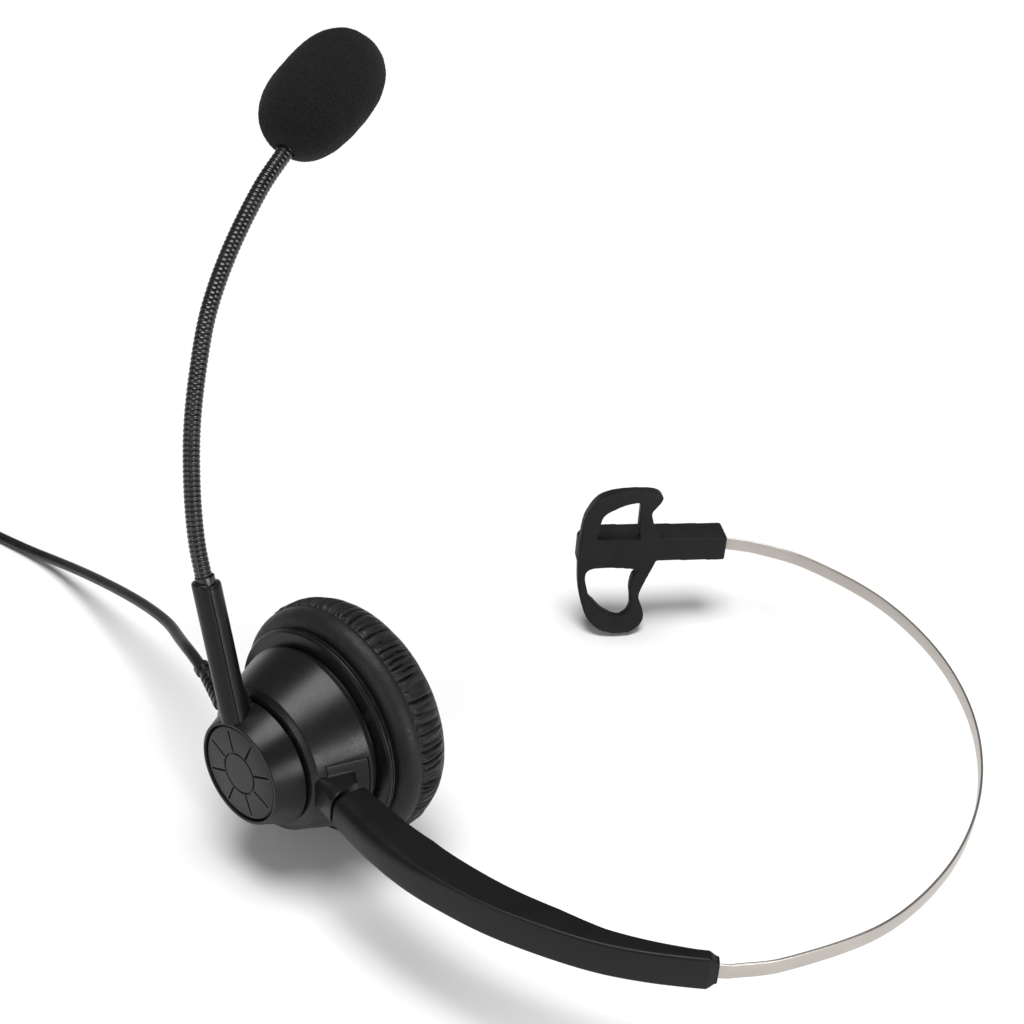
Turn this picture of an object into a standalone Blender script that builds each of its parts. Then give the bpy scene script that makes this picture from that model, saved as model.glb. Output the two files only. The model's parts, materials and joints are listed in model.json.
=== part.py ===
"""A single-ear office headset lying on its side: an ear cup with a swivelling microphone boom, a curved
arm, a thin steel headband with a T-shaped temple pad, and its cord wound into a coil.

The model is drawn in its own axes, in millimetres, and one empty lays it down on the floor:
    X  runs along the ear cup's axis, from the hub's front rim towards the cushion
    Y  runs away from the crown of the headband, towards the cord
    Z  is across the headband's plane
The cord and what is on it lie on the floor, so those pieces are given in world metres.
"""

import math

import bmesh
import bpy
from mathutils import Matrix, Vector

MM = 0.001
GAP = 0.3

# ---------------------------------------------------------------- driving dimensions, mm and degrees
REST_TILT = 2.90
REST_SHIFT = (-0.08642, 0.03790, 0.03046)

CUP_STEPS = 36
SMALL_STEPS = 24

HUB_FRONT_R = 12.1
HUB_REAR_R = 15.0
HUB_REAR_X = 6.6
BELL_FRONT = (7.15, 17.0)
BELL_REAR = (19.5, 21.9)
BELL_END_X = 20.2
BELL_WALL = 1.45

CUSHION_X = 24.3
EAR_FACE_X = 39.6

SCREW_R = 1.35
AXLE_BORE_R = 1.7
AXLE_R = 4.05
HUB_BORE_R = 4.4

BOOM_SWIVEL = 17.0
TUBE_X = 2.3
TUBE_R = 3.1
TUBE_BORE_R = 2.2
TUBE_START = 16.3
TUBE_END = 45.0
SEAM_ANGLE = 246.0

NECK_R = 1.85
NECK_VALLEY_R = 1.6
RIB_PITCH = 3.6
NECK_KNOTS = (
    (2.3, 38.0),
    (2.1, 46.0),
    (2.3, 54.0),
    (3.9, 64.6),
    (7.0, 76.8),
    (11.6, 88.5),
    (17.4, 99.8),
    (25.8, 110.6),
    (36.5, 121.1),
    (45.3, 127.65),
    (52.9, 133.4),
)
BEND_AT = 31.0
SWEEP_AT = 68.0
JOINT_HALF_GAP = 0.75

CAPSULE_CENTRE = (58.6, 137.7)
CAPSULE_SLOPE = 37.1
FOAM_CENTRE = (58.55, 137.65)
FOAM_SLOPE = 28.8
FOAM_HALF = 16.45
FOAM_R = 10.65
FOAM_FULLNESS = 2.6
FOAM_BORE_R = 3.3

ARM_HALF = 4.0
TILT_PIN = (9.45, -20.4)
ARM_HEAD_END_Y = -26.5
SCREW_STATIONS = (2.0, 4.0)

BAND_CENTRE = (84.6, -59.4)
BAND_ARC_R = 75.0
BAND_HIDDEN_END = 197.0
BAND_TAB_END = 199.0
BAND_EXIT = 223.6
BAND_HALF_WIDTH = 1.8
BAND_TAB_HALF_WIDTH = 2.5
BAND_THICK = 0.6

PAD_CORNER = (162.3, -14.4)
PAD_ANGLE = -39.4
PAD_THICK = 2.7

# ---------------------------------------------------------------- colours: rgb, roughness, metallic
LOOKS = {
    "shell_plastic": ((0.045, 0.046, 0.050), 0.42, 0.0),
    "boom_plastic": ((0.030, 0.031, 0.034), 0.34, 0.0),
    "arm_plastic": ((0.022, 0.022, 0.024), 0.60, 0.0),
    "leatherette": ((0.016, 0.016, 0.017), 0.55, 0.0),
    "dark_foam": ((0.012, 0.012, 0.013), 0.95, 0.0),
    "neck_rubber": ((0.014, 0.014, 0.015), 0.48, 0.0),
    "pad_rubber": ((0.030, 0.030, 0.032), 0.70, 0.0),
    "band_steel": ((0.60, 0.57, 0.54), 0.30, 1.0),
    "fastener_steel": ((0.52, 0.52, 0.53), 0.32, 1.0),
    "driver_plastic": ((0.060, 0.060, 0.065), 0.50, 0.0),
    "magnet_metal": ((0.36, 0.36, 0.37), 0.38, 1.0),
    "cone_film": ((0.20, 0.19, 0.17), 0.40, 0.0),
    "coil_copper": ((0.72, 0.36, 0.20), 0.35, 1.0),
    "board_green": ((0.020, 0.110, 0.050), 0.45, 0.0),
    "cord_jacket": ((0.013, 0.013, 0.014), 0.45, 0.0),
    "plug_clear": ((0.62, 0.64, 0.66), 0.15, 0.0),
    "contact_gold": ((0.80, 0.60, 0.25), 0.25, 1.0),
}


def clear_scene():
    for old in list(bpy.data.objects):
        bpy.data.objects.remove(old, do_unlink=True)


def make_look(name):
    colour, roughness, metallic = LOOKS[name]
    look = bpy.data.materials.new(name)
    look.use_nodes = True
    shader = look.node_tree.nodes["Principled BSDF"]
    shader.inputs["Base Color"].default_value = (*colour, 1.0)
    shader.inputs["Roughness"].default_value = roughness
    shader.inputs["Metallic"].default_value = metallic
    return look


# ---------------------------------------------------------------- placing
def empty(name, parent, place):
    holder = bpy.data.objects.new(name, None)
    holder.empty_display_size = 0.01
    bpy.context.scene.collection.objects.link(holder)
    holder.parent = parent
    holder.matrix_local = place
    return holder


def joint_empty(name, parent, point, parent_point=(0.0, 0.0, 0.0)):
    """An empty on a joint's axis. Its children are still drawn in the model's axes."""
    offset = (Vector(point) - Vector(parent_point)) * MM
    holder = empty(name, parent, Matrix.Translation(offset))
    holder["point"] = point
    return holder


def add(name, shape, look, holder):
    """Makes one object of a shape drawn in millimetres, and puts its origin on its holder."""
    point = Vector(holder["point"])
    for vertex in shape.verts:
        vertex.co = (vertex.co - point) * MM
    bmesh.ops.recalc_face_normals(shape, faces=shape.faces)
    if shape.calc_volume(signed=True) < 0:
        bmesh.ops.reverse_faces(shape, faces=shape.faces)
    mesh = bpy.data.meshes.new(name)
    shape.to_mesh(mesh)
    shape.free()
    mesh.shade_smooth()
    mesh.set_sharp_from_angle(angle=math.radians(32))
    made = bpy.data.objects.new(name, mesh)
    bpy.context.scene.collection.objects.link(made)
    made.parent = holder
    if look:
        mesh.materials.append(bpy.data.materials.get(look) or make_look(look))
    return made


def boolean(target, operation, shape, label):
    """Cuts a shape from the target, adds it, or keeps what the two share."""
    tool = add(target.name + "_" + label, shape, None, target.parent)
    tool.hide_render = True
    tool.display_type = "WIRE"
    change = target.modifiers.new(label, "BOOLEAN")
    change.operation = operation
    change.solver = "EXACT"
    change.object = tool


# ---------------------------------------------------------------- shapes
def bridge(shape, near, far):
    count = max(len(near), len(far))
    for i in range(count):
        j = (i + 1) % count
        corners = [near[i % len(near)], near[j % len(near)], far[j % len(far)], far[i % len(far)]]
        shape.faces.new(list(dict.fromkeys(corners)))


def lofted(sections):
    """A solid through outlines that have the same number of points, with a face at each end."""
    shape = bmesh.new()
    rings = [[shape.verts.new(point) for point in section] for section in sections]
    for near, far in zip(rings, rings[1:]):
        bridge(shape, near, far)
    shape.faces.new(rings[0])
    shape.faces.new(rings[-1])
    return shape


def turned(profile, place=None, steps=CUP_STEPS):
    """A solid turned about X from (along, radius) points. Ends on the axis, or closes on itself."""
    place = place or Matrix()
    shape = bmesh.new()
    rings = []
    for along, radius in profile:
        ring = []
        for i in range(steps if radius else 1):
            angle = math.tau * i / steps
            point = Vector((along, radius * math.cos(angle), radius * math.sin(angle)))
            ring.append(shape.verts.new(place @ point))
        rings.append(ring)
    for near, far in zip(rings, rings[1:]):
        bridge(shape, near, far)
    if profile[0][1]:
        bridge(shape, rings[-1], rings[0])
    return shape


def prism(outline, low, high, place=None):
    """An outline in the XY plane, extruded from one height to another."""
    place = place or Matrix()
    return lofted([[place @ Vector((x, y, z)) for x, y in outline] for z in (low, high)])


def box(low, high, place=None):
    outline = ((low[0], low[1]), (high[0], low[1]), (high[0], high[1]), (low[0], high[1]))
    return prism(outline, low[2], high[2], place)


def rod(start, end, radius, steps=20):
    return turned(((0, 0), (0, radius), (length(start, end), radius), (length(start, end), 0)),
                  along_x(start, Vector(end) - Vector(start)), steps)


def length(start, end):
    return (Vector(end) - Vector(start)).length


def along_x(origin, direction):
    """A placement that takes the X axis to a direction from an origin."""
    turn = Vector(direction).to_track_quat("X", "Z").to_matrix().to_4x4()
    return Matrix.Translation(Vector(origin)) @ turn


def joined(*shapes):
    """Separate closed shapes, as one tool for a Boolean."""
    whole = bmesh.new()
    for part in shapes:
        held = bpy.data.meshes.new("held")
        bmesh.ops.recalc_face_normals(part, faces=part.faces)
        part.to_mesh(held)
        part.free()
        whole.from_mesh(held)
        bpy.data.meshes.remove(held)
    return whole


# ---------------------------------------------------------------- curves
def curve_through(knots, spacing):
    """Points about one spacing apart on a smooth curve through the knots."""
    knots = [Vector(knot) for knot in knots]
    ends = [2 * knots[0] - knots[1]] + knots + [2 * knots[-1] - knots[-2]]
    dense = []
    for a, b, c, d in zip(ends, ends[1:], ends[2:], ends[3:]):
        for i in range(24):
            t = i / 24
            dense.append(
                0.5 * (2 * b + (c - a) * t + (2 * a - 5 * b + 4 * c - d) * t**2
                       + (3 * b - 3 * c + d - a) * t**3)
            )
    dense.append(knots[-1])
    return spaced(dense, spacing)


def spaced(points, spacing):
    runs = [0.0]
    for a, b in zip(points, points[1:]):
        runs.append(runs[-1] + (b - a).length)
    count = max(2, round(runs[-1] / spacing) + 1)
    return [point_at(points, runs, runs[-1] * i / (count - 1)) for i in range(count)]


def point_at(points, runs, run):
    i = 0
    while i < len(points) - 2 and runs[i + 1] < run:
        i += 1
    part = (run - runs[i]) / (runs[i + 1] - runs[i])
    return points[i].lerp(points[i + 1], min(1.0, max(0.0, part)))


def swept(points, radii, steps=8):
    """A round solid along points, with a radius at each."""
    across = Vector((0, 1, 0.2))
    sections = []
    for i, (point, radius) in enumerate(zip(points, radii)):
        ahead = (points[min(i + 1, len(points) - 1)] - points[max(i - 1, 0)]).normalized()
        across = (across - ahead * across.dot(ahead)).normalized()
        beside = ahead.cross(across)
        angles = [math.tau * k / steps for k in range(steps)]
        sections.append([point + radius * (math.cos(a) * across + math.sin(a) * beside) for a in angles])
    return lofted(sections)


# ---------------------------------------------------------------- ear cup
def bell_radius(x):
    """Outer radius of the conical bell."""
    part = (x - BELL_FRONT[0]) / (BELL_REAR[0] - BELL_FRONT[0])
    return BELL_FRONT[1] + part * (BELL_REAR[1] - BELL_FRONT[1])


def speaker_housing(cup):
    front_x, front_r = BELL_FRONT
    profile = (
        (front_x, HUB_BORE_R),
        (front_x, front_r - 0.5),
        (front_x + 0.4, front_r),
        (BELL_REAR[0], BELL_REAR[1]),
        (BELL_END_X, BELL_REAR[1]),
        (BELL_END_X, 20.0),
        (BELL_REAR[0] - 0.2, 20.0),
        (8.9, 15.6),
        (8.9, HUB_BORE_R),
    )
    bell = add("speaker_housing", turned(profile), "shell_plastic", cup)
    boolean(bell, "DIFFERENCE", box((9.9, -30, -6.6), (19.2, -12, 6.6)), "panel_cut")
    boolean(bell, "DIFFERENCE", box((4.0, -30, -4.3), (12.0, -15.2, 4.3)), "boss_cut")
    boolean(bell, "DIFFERENCE", rod(STRAIN_START, STRAIN_END, 2.6, 24), "cord_hole")


def arm_boss(cup):
    """The panel let into the bell's side, and the boss on it that carries the arm's tilt pin."""
    panel = (
        (10.2, bell_radius(10.2)),
        (18.9, bell_radius(18.9)),
        (18.9, bell_radius(18.9) - BELL_WALL),
        (10.2, bell_radius(10.2) - BELL_WALL),
    )
    boss = add("arm_boss", turned(panel), "shell_plastic", cup)
    boolean(boss, "INTERSECT", box((9.0, -30, -6.3), (20.0, -12, 6.3)), "panel_side")
    outline = ((7.6, -16.0), (16.5, -19.4), (13.4, -23.2), (5.8, -23.2))
    boolean(boss, "UNION", prism(outline, -4.0, 4.0), "boss_block")
    boolean(boss, "DIFFERENCE", box((7.5, -26, -1.65), (11.4, -17.4, 1.65)), "tongue_slot")
    x, y = TILT_PIN
    boolean(boss, "DIFFERENCE", rod((x, y, -3.2), (x, y, 3.2), 1.1), "pin_hole")


def tilt_pin(cup):
    x, y = TILT_PIN
    add("tilt_pin", rod((x, y, -2.9), (x, y, 2.9), 0.8), "fastener_steel", cup)


def bezel_ring(cup):
    profile = (
        (20.5, 17.5),
        (20.5, 20.8),
        (21.6, 20.8),
        (21.7, 24.6),
        (22.2, 25.1),
        (23.4, 25.1),
        (23.9, 24.5),
        (23.9, 17.5),
    )
    add("bezel_ring", turned(profile), "shell_plastic", cup)


def speaker_parts(cup):
    frame = ((23.4, 17.1), (23.4, 15.4), (20.6, 15.4), (18.4, 11.8), (18.4, 7.6), (17.0, 7.6),
             (17.0, 12.4), (19.6, 17.1))
    add("speaker_frame", turned(frame, steps=SMALL_STEPS), "driver_plastic", cup)
    magnet = ((12.5, 0), (12.5, 6.6), (13.1, 7.2), (18.2, 7.2), (18.2, 0))
    add("speaker_magnet", turned(magnet, steps=SMALL_STEPS), "magnet_metal", cup)
    coil = ((18.6, 5.1), (18.6, 5.7), (20.7, 5.7), (20.7, 5.1))
    add("voice_coil", turned(coil, steps=SMALL_STEPS), "coil_copper", cup)
    cone = ((22.0, 0), (21.1, 5.0), (21.1, 8.0), (22.2, 14.9), (22.6, 14.9), (21.5, 8.0), (21.5, 5.0),
            (22.4, 0))
    add("speaker_diaphragm", turned(cone, steps=SMALL_STEPS), "cone_film", cup)
    plate = turned(((23.8, 0), (23.8, 17.1), (24.5, 17.1), (24.5, 0)), steps=SMALL_STEPS)
    screen = add("speaker_screen", plate, "driver_plastic", cup)
    holes = [rod((23, 0, 0), (25.5, 0, 0), 1.2, 8)]
    for i in range(6):
        angle = math.tau * i / 6
        y, z = 4.6 * math.cos(angle), 4.6 * math.sin(angle)
        holes.append(rod((23, y, z), (25.5, y, z), 1.2, 8))
    boolean(screen, "DIFFERENCE", joined(*holes), "sound_holes")
    add("terminal_board", box((11.0, -5.5, -7.0), (12.0, 5.5, 7.0)), "board_green", cup)


def ear_cushion(cup):
    mount = ((24.2, 17.8), (24.2, 22.6), (25.4, 22.6), (25.4, 17.8))
    add("cushion_mount_ring", turned(mount, steps=SMALL_STEPS), "driver_plastic", cup)
    cover = (
        (CUSHION_X, 23.2),
        (24.6, 25.5),
        (25.4, 27.3),
        (26.8, 28.3),
        (28.6, 28.9),
        (31.5, 28.9),
        (34.6, 28.3),
        (37.4, 26.5),
        (39.1, 24.0),
        (EAR_FACE_X, 22.0),
        (EAR_FACE_X, 18.0),
        (38.8, 12.5),
        (37.2, 8.7),
        (34.5, 7.0),
        (34.5, 8.2),
        (36.3, 9.8),
        (37.7, 13.4),
        (38.4, 18.0),
        (38.4, 21.6),
        (36.9, 25.2),
        (34.2, 27.2),
        (30.5, 27.8),
        (26.7, 26.7),
        (25.5, 23.2),
    )
    add("ear_cushion", turned(cover), "leatherette", cup)
    foam = (
        (26.0, 15.0),
        (26.0, 23.4),
        (27.2, 26.2),
        (30.4, 27.2),
        (33.8, 26.6),
        (36.3, 24.8),
        (37.8, 21.4),
        (37.8, 18.0),
        (36.9, 13.6),
        (35.4, 10.2),
        (29.0, 9.4),
    )
    add("cushion_foam", turned(foam, steps=SMALL_STEPS), "dark_foam", cup)


STRAIN_START = (11.8, 13.6, 0.2)
STRAIN_ALONG = (0.27, 0.96, 0.08)
STRAIN_LENGTH = 22.8
STRAIN_END = tuple(Vector(STRAIN_START) + Vector(STRAIN_ALONG).normalized() * STRAIN_LENGTH)


def strain_relief(cup):
    profile = [(0, 0), (0, 2.8), (0.9, 2.8), (0.9, 2.3), (8.6, 2.3), (8.6, 2.75), (9.8, 2.75)]
    for rib in range(3):
        start = 9.8 + 3.0 * rib
        radius = 2.6 - 0.22 * rib
        profile += [(start, radius - 0.5), (start + 1.0, radius - 0.5), (start + 1.2, radius),
                    (start + 2.9, radius - 0.2)]
    profile += [(18.8, 1.55), (20.6, 1.55), (20.6, 1.95), (22.6, 1.95), (STRAIN_LENGTH, 1.7),
                (STRAIN_LENGTH, 0)]
    place = along_x(STRAIN_START, STRAIN_ALONG)
    add("strain_relief", turned(profile, place, 12), "neck_rubber", cup)


# ---------------------------------------------------------------- swivel hub
def hub_axle(cup):
    axle = ((2.7, AXLE_BORE_R), (2.7, AXLE_R), (9.2, AXLE_R), (9.2, 6.5), (10.6, 6.5), (10.6, AXLE_BORE_R))
    add("hub_axle", turned(axle, steps=SMALL_STEPS), "driver_plastic", cup)
    ring = ((5.7, 6.4), (5.7, 9.6), (6.85, 9.6), (6.85, 6.4))
    add("friction_ring", turned(ring, steps=SMALL_STEPS), "fastener_steel", cup)


def boom_hub(boom):
    cone = (
        (0.0, 11.6),
        (0.0, HUB_FRONT_R),
        (HUB_REAR_X, HUB_REAR_R),
        (HUB_REAR_X, 10.0),
        (5.4, 10.0),
        (5.4, 6.0),
        (6.6, 6.0),
        (6.6, HUB_BORE_R),
        (4.0, HUB_BORE_R),
        (4.0, 9.5),
        (2.4, 9.5),
        (2.4, 11.6),
    )
    hub = add("boom_hub", turned(cone), "boom_plastic", boom)
    fairing = []
    for height, middle, half_x, half_across in ((10.2, 3.0, 3.5, 4.6), (13.0, 2.9, 3.5, 4.2), (16.0, 2.3, 3.1, 3.1)):
        ring = []
        for i in range(24):
            angle = math.tau * i / 24
            ring.append(boom_point(middle + half_x * math.cos(angle), height, half_across * math.sin(angle)))
        fairing.append(ring)
    boolean(hub, "UNION", lofted(fairing), "fairing")
    boolean(hub, "UNION", rod(boom_point(TUBE_X, 14), boom_point(TUBE_X, 24), 1.9), "tube_core")
    boolean(hub, "DIFFERENCE", turned(((-4, 0), (-4, 11.6), (2.4, 11.6), (2.4, 0)), Matrix.Identity(4)),
            "cap_recess")


def hub_cap(boom):
    profile = ((0.0, 0), (0.0, 10.9), (0.4, 11.3), (2.1, 11.3), (2.1, 9.9), (1.2, 9.9), (1.2, 0))
    cap = add("hub_cap", turned(profile), "boom_plastic", boom)
    grooves = [turned(((-0.5, 4.6), (-0.5, 5.1), (0.35, 5.1), (0.35, 4.6)), steps=SMALL_STEPS)]
    for i in range(8):
        turn = Matrix.Rotation(math.tau * (i + 0.5) / 8, 4, "X")
        grooves.append(box((-0.5, 5.8, -0.25), (0.35, 10.2, 0.25), turn))
    boolean(cap, "DIFFERENCE", joined(*grooves), "grooves")


def hub_fasteners(boom):
    screw = ((1.5, 0), (1.5, 3.0), (1.9, 3.0), (1.9, 5.6), (2.4, 5.6), (2.4, SCREW_R), (9.0, SCREW_R),
             (9.0, 0))
    add("hub_screw", turned(screw, steps=SMALL_STEPS), "fastener_steel", boom)
    washer = ((2.8, 4.4), (2.8, 9.0), (3.7, 9.0), (3.7, 4.4))
    add("hub_retainer", turned(washer, steps=SMALL_STEPS), "fastener_steel", boom)


# ---------------------------------------------------------------- boom
def boom_point(x, height, across=0.0):
    """A point at a height along the boom's own radius from the swivel axis."""
    swivel = math.radians(BOOM_SWIVEL)
    return Vector((
        x,
        height * math.sin(swivel) + across * math.cos(swivel),
        height * math.cos(swivel) - across * math.sin(swivel),
    ))


def boom_tube(boom):
    """Two half shells, with their seams on the front and the back of the tube."""
    for name, side in (("boom_tube_left", 0.0), ("boom_tube_right", 180.0)):
        sections = []
        facing = math.radians(SEAM_ANGLE + side + 90)
        shift = (0.5 * GAP * math.cos(facing), 0.5 * GAP * math.sin(facing))
        for height, outer in ((TUBE_START, TUBE_R), (43.6, TUBE_R), (44.6, 2.95), (TUBE_END, 2.6)):
            arc = [math.radians(SEAM_ANGLE + side + 180 * i / 10) for i in range(11)]
            edge = [(outer, a) for a in arc] + [(TUBE_BORE_R, a) for a in reversed(arc)]
            sections.append([
                boom_point(TUBE_X + shift[0] + r * math.cos(a), height, shift[1] + r * math.sin(a))
                for r, a in edge
            ])
        add(name, lofted(sections), "boom_plastic", boom)


def neck_path():
    return curve_through([boom_point(x, height) for x, height in NECK_KNOTS], 0.4)


def neck_runs(points):
    runs = [0.0]
    for a, b in zip(points, points[1:]):
        runs.append(runs[-1] + (b - a).length)
    return runs


def neck_place(run):
    """The point on the gooseneck's centreline at a run from its hidden end."""
    points = neck_path()
    return point_at(points, neck_runs(points), run)


def neck_piece(name, start, end, holder, ball=False):
    points = neck_path()
    runs = neck_runs(points)
    ribs = max(1, round((end - start) / RIB_PITCH))
    pitch = (end - start) / ribs
    stations = [(start, NECK_VALLEY_R)]
    for i in range(ribs):
        middle = start + (i + 0.5) * pitch
        stations += [(middle - 0.25 * pitch, NECK_R), (middle + 0.25 * pitch, NECK_R)]
        stations += [(middle + 0.5 * pitch, NECK_VALLEY_R)]
    if ball:
        centre = end + JOINT_HALF_GAP
        stations += [(end + 0.02, 0.3), (centre - 0.3, 0.33), (centre - 0.1, 0.44), (centre + 0.15, 0.43),
                     (centre + 0.4, 0.2)]
    places = [point_at(points, runs, run) for run, _ in stations]
    add(name, swept(places, [radius for _, radius in stations]), "neck_rubber", holder)


def gooseneck(boom, bend, sweep):
    end = neck_runs(neck_path())[-1]
    neck_piece("gooseneck_lower", 0.0, BEND_AT - JOINT_HALF_GAP, boom, ball=True)
    neck_piece("gooseneck_middle", BEND_AT + JOINT_HALF_GAP, SWEEP_AT - JOINT_HALF_GAP, bend, ball=True)
    neck_piece("gooseneck_upper", SWEEP_AT + JOINT_HALF_GAP, end, sweep)


def along_boom_plane(centre, slope):
    """A placement in the boom's plane, with X at a slope from the cup's axis."""
    turn = math.radians(slope)
    here = boom_point(*centre)
    ahead = boom_point(centre[0] + math.cos(turn), centre[1] + math.sin(turn)) - here
    return along_x(here, ahead)


def microphone(sweep):
    place = along_boom_plane(CAPSULE_CENTRE, CAPSULE_SLOPE)
    carrier = ((-6.4, 0), (-6.4, 2.2), (-14.5, 2.2), (-14.5, 2.9), (-4.0, 2.9), (-4.0, 0))
    add("mic_carrier", turned(carrier, place, 24), "driver_plastic", sweep)
    add("mic_capsule", turned(((-3.6, 0), (-3.6, 3.0), (1.0, 3.0), (1.0, 0)), place, 24), "magnet_metal", sweep)
    foam = [(-FOAM_HALF, 0)]
    for i in range(1, 14):
        angle = math.pi * i / 14
        share = (1 - abs(math.cos(angle)) ** FOAM_FULLNESS) ** (1 / FOAM_FULLNESS)
        foam.append((-FOAM_HALF * math.cos(angle), FOAM_R * share))
    foam.append((FOAM_HALF, 0))
    ball = turned(foam, along_boom_plane(FOAM_CENTRE, FOAM_SLOPE), SMALL_STEPS)
    screen = add("windscreen", ball, "dark_foam", sweep)
    bore = ((-24, 0), (-24, FOAM_BORE_R), (1.6, FOAM_BORE_R), (1.6, 0))
    boolean(screen, "DIFFERENCE", turned(bore, place, SMALL_STEPS), "bore")


# ---------------------------------------------------------------- arm
# Outer face x and y, thickness, outer wall, inner cover, half width of the channel.
ARM_STATIONS = (
    (5.8, -23.6, 7.9, 1.3, 1.8, 2.9),
    (3.6, -36.0, 8.9, 1.3, 1.8, 2.9),
    (3.0, -48.0, 9.2, 1.3, 1.8, 2.9),
    (4.1, -58.5, 8.2, 1.3, 1.8, 2.9),
    (6.2, -69.8, 7.4, 1.3, 1.8, 2.9),
    (10.0, -81.6, 6.4, 1.2, 1.5, 2.9),
    (14.1, -91.2, 4.8, 1.1, 1.2, 2.9),
    (19.0, -99.3, 3.9, 1.0, 0.9, 2.9),
    (24.6, -106.8, 3.2, 0.8, 0.8, 2.1),
    (27.8, -110.6, 3.1, 0.8, 0.8, 2.1),
)


ARM_CHAMFER_FROM = 8.45
ARM_END = 8.95


class Station:
    """The arm's section at one place along it, numbered as ARM_STATIONS are."""

    def __init__(self, place):
        i = min(int(place), len(ARM_STATIONS) - 2)
        t = place - i
        rows = [ARM_STATIONS[min(max(k, 0), len(ARM_STATIONS) - 1)] for k in (i - 1, i, i + 1, i + 2)]
        values = []
        slopes = []
        for k, (a, b, c, d) in enumerate(zip(*rows)):
            if k > 1:
                values.append(b + (c - b) * t)
                continue
            if i == 0:
                a = 2 * b - c
            if i == len(ARM_STATIONS) - 2:
                d = 2 * c - b
            terms = (2 * b, c - a, 2 * a - 5 * b + 4 * c - d, 3 * b - 3 * c + d - a)
            values.append(0.5 * sum(term * t**n for n, term in enumerate(terms)))
            slopes.append(0.5 * sum(n * term * t ** (n - 1) for n, term in enumerate(terms) if n))
        self.x, self.y, self.thick, self.wall, self.cover, self.channel = values
        self.place = place
        self.taper = max(0.0, (place - ARM_CHAMFER_FROM) / (ARM_END - ARM_CHAMFER_FROM))
        along = Vector((slopes[0], slopes[1], 0)).normalized()
        self.inward = Vector((-along.y, along.x, 0))

    def point(self, depth, z):
        """A point at a depth from the outer face."""
        return Vector((self.x, self.y, z)) + self.inward * depth


def arm_sections(outline, start, end, steps, extra=()):
    places = [start + (end - start) * i / steps for i in range(steps + 1)] + list(extra)
    return [[Station(p).point(depth, z) for depth, z in outline(Station(p))] for p in places]


def arm_edge(station):
    """One side of the arm's outside, from its outer face to its inner one. The end is chamfered all round."""
    half = ARM_HALF - 1.2 * station.taper
    front = 0.4 * station.taper
    back = station.thick - 0.4 * station.taper
    soft = 0.8 + 0.6 * max(0.0, 1 - station.place / 3.0)
    return [(front, half - soft), (front + soft, half), (back - 0.5, half), (back, half - 0.5)]


def mirrored(right):
    return right + [(depth, -z) for depth, z in reversed(right)]


def shell_outline(station):
    edge = arm_edge(station)
    return mirrored(edge + [(edge[-1][0], station.channel), (station.wall, station.channel)])


def cover_outline(station):
    """The cover lies between the shell's walls, so no seam shows from above."""
    low, high = station.thick - station.cover, arm_edge(station)[-1][0]
    half = station.channel - GAP
    return mirrored([(low, half), (high, half)])


def head_outline(station):
    return mirrored(arm_edge(station))


def arm_shells(arm):
    sections = arm_sections(shell_outline, 0.2, 8.2, 27, (ARM_CHAMFER_FROM, 0.5 * (ARM_CHAMFER_FROM + ARM_END), ARM_END))
    outer = add("arm_shell_outer", lofted(sections), "arm_plastic", arm)
    boolean(outer, "UNION", lofted(arm_sections(head_outline, 0.0, 0.24, 3)), "head")
    x, y = TILT_PIN
    boolean(outer, "UNION", box((7.9, -26.0, -1.3), (11.0, y + 2.1, 1.3)), "tongue")
    boolean(outer, "DIFFERENCE", rod((x, y, -3), (x, y, 3), 1.1), "tongue_hole")
    sections = arm_sections(cover_outline, 0.29, 8.2, 27, (ARM_CHAMFER_FROM, ARM_END))
    inner = add("arm_shell_inner", lofted(sections), "arm_plastic", arm)
    for place in SCREW_STATIONS:
        station = Station(place)
        top = station.thick
        seat = top - station.cover - GAP
        low = station.wall - 0.2
        boolean(outer, "UNION", rod(station.point(low, 0), station.point(seat, 0), 1.9), f"post_{place:.0f}")
        boolean(outer, "DIFFERENCE", rod(station.point(low + 1.2, 0), station.point(seat + 1, 0), 1.0),
                f"post_hole_{place:.0f}")
        boolean(inner, "DIFFERENCE", rod(station.point(seat - 1, 0), station.point(top + 1, 0), 1.0),
                f"screw_hole_{place:.0f}")
        boolean(inner, "DIFFERENCE", rod(station.point(top - 1.0, 0), station.point(top + 1, 0), 1.95, 24),
                f"head_recess_{place:.0f}")


def arm_screws(arm):
    for number, place in enumerate(SCREW_STATIONS, 1):
        station = Station(place)
        deep = station.wall + 1.4
        head = station.thick - 0.7
        profile = ((0, 0), (0, 0.7), (head - deep, 0.7), (head - deep, 1.6), (head - deep + 0.6, 1.6),
                   (head - deep + 0.6, 0.5), (head - deep + 0.3, 0.5), (head - deep + 0.3, 0))
        place = along_x(station.point(deep, 0), station.inward)
        add(f"arm_screw_{number}", turned(profile, place, 20), "fastener_steel", arm)


def arc_section(angle, radii, half_width):
    """A section of a strip on the band's hidden arc."""
    turn = Vector((math.cos(math.radians(angle)), math.sin(math.radians(angle)), 0))
    centre = Vector((*BAND_CENTRE, 0))
    low, high = radii
    corners = ((low, -half_width), (high, -half_width), (high, half_width), (low, half_width))
    return [centre + turn * radius + Vector((0, 0, z)) for radius, z in corners]


def band_spring(arm):
    """The leaf spring beside the band's hidden end, inside the arm."""
    sections = [arc_section(198.5 + 6.5 * i / 6, (73.95, 74.35), 1.5) for i in range(7)]
    add("band_spring", lofted(sections), "fastener_steel", arm)


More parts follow.
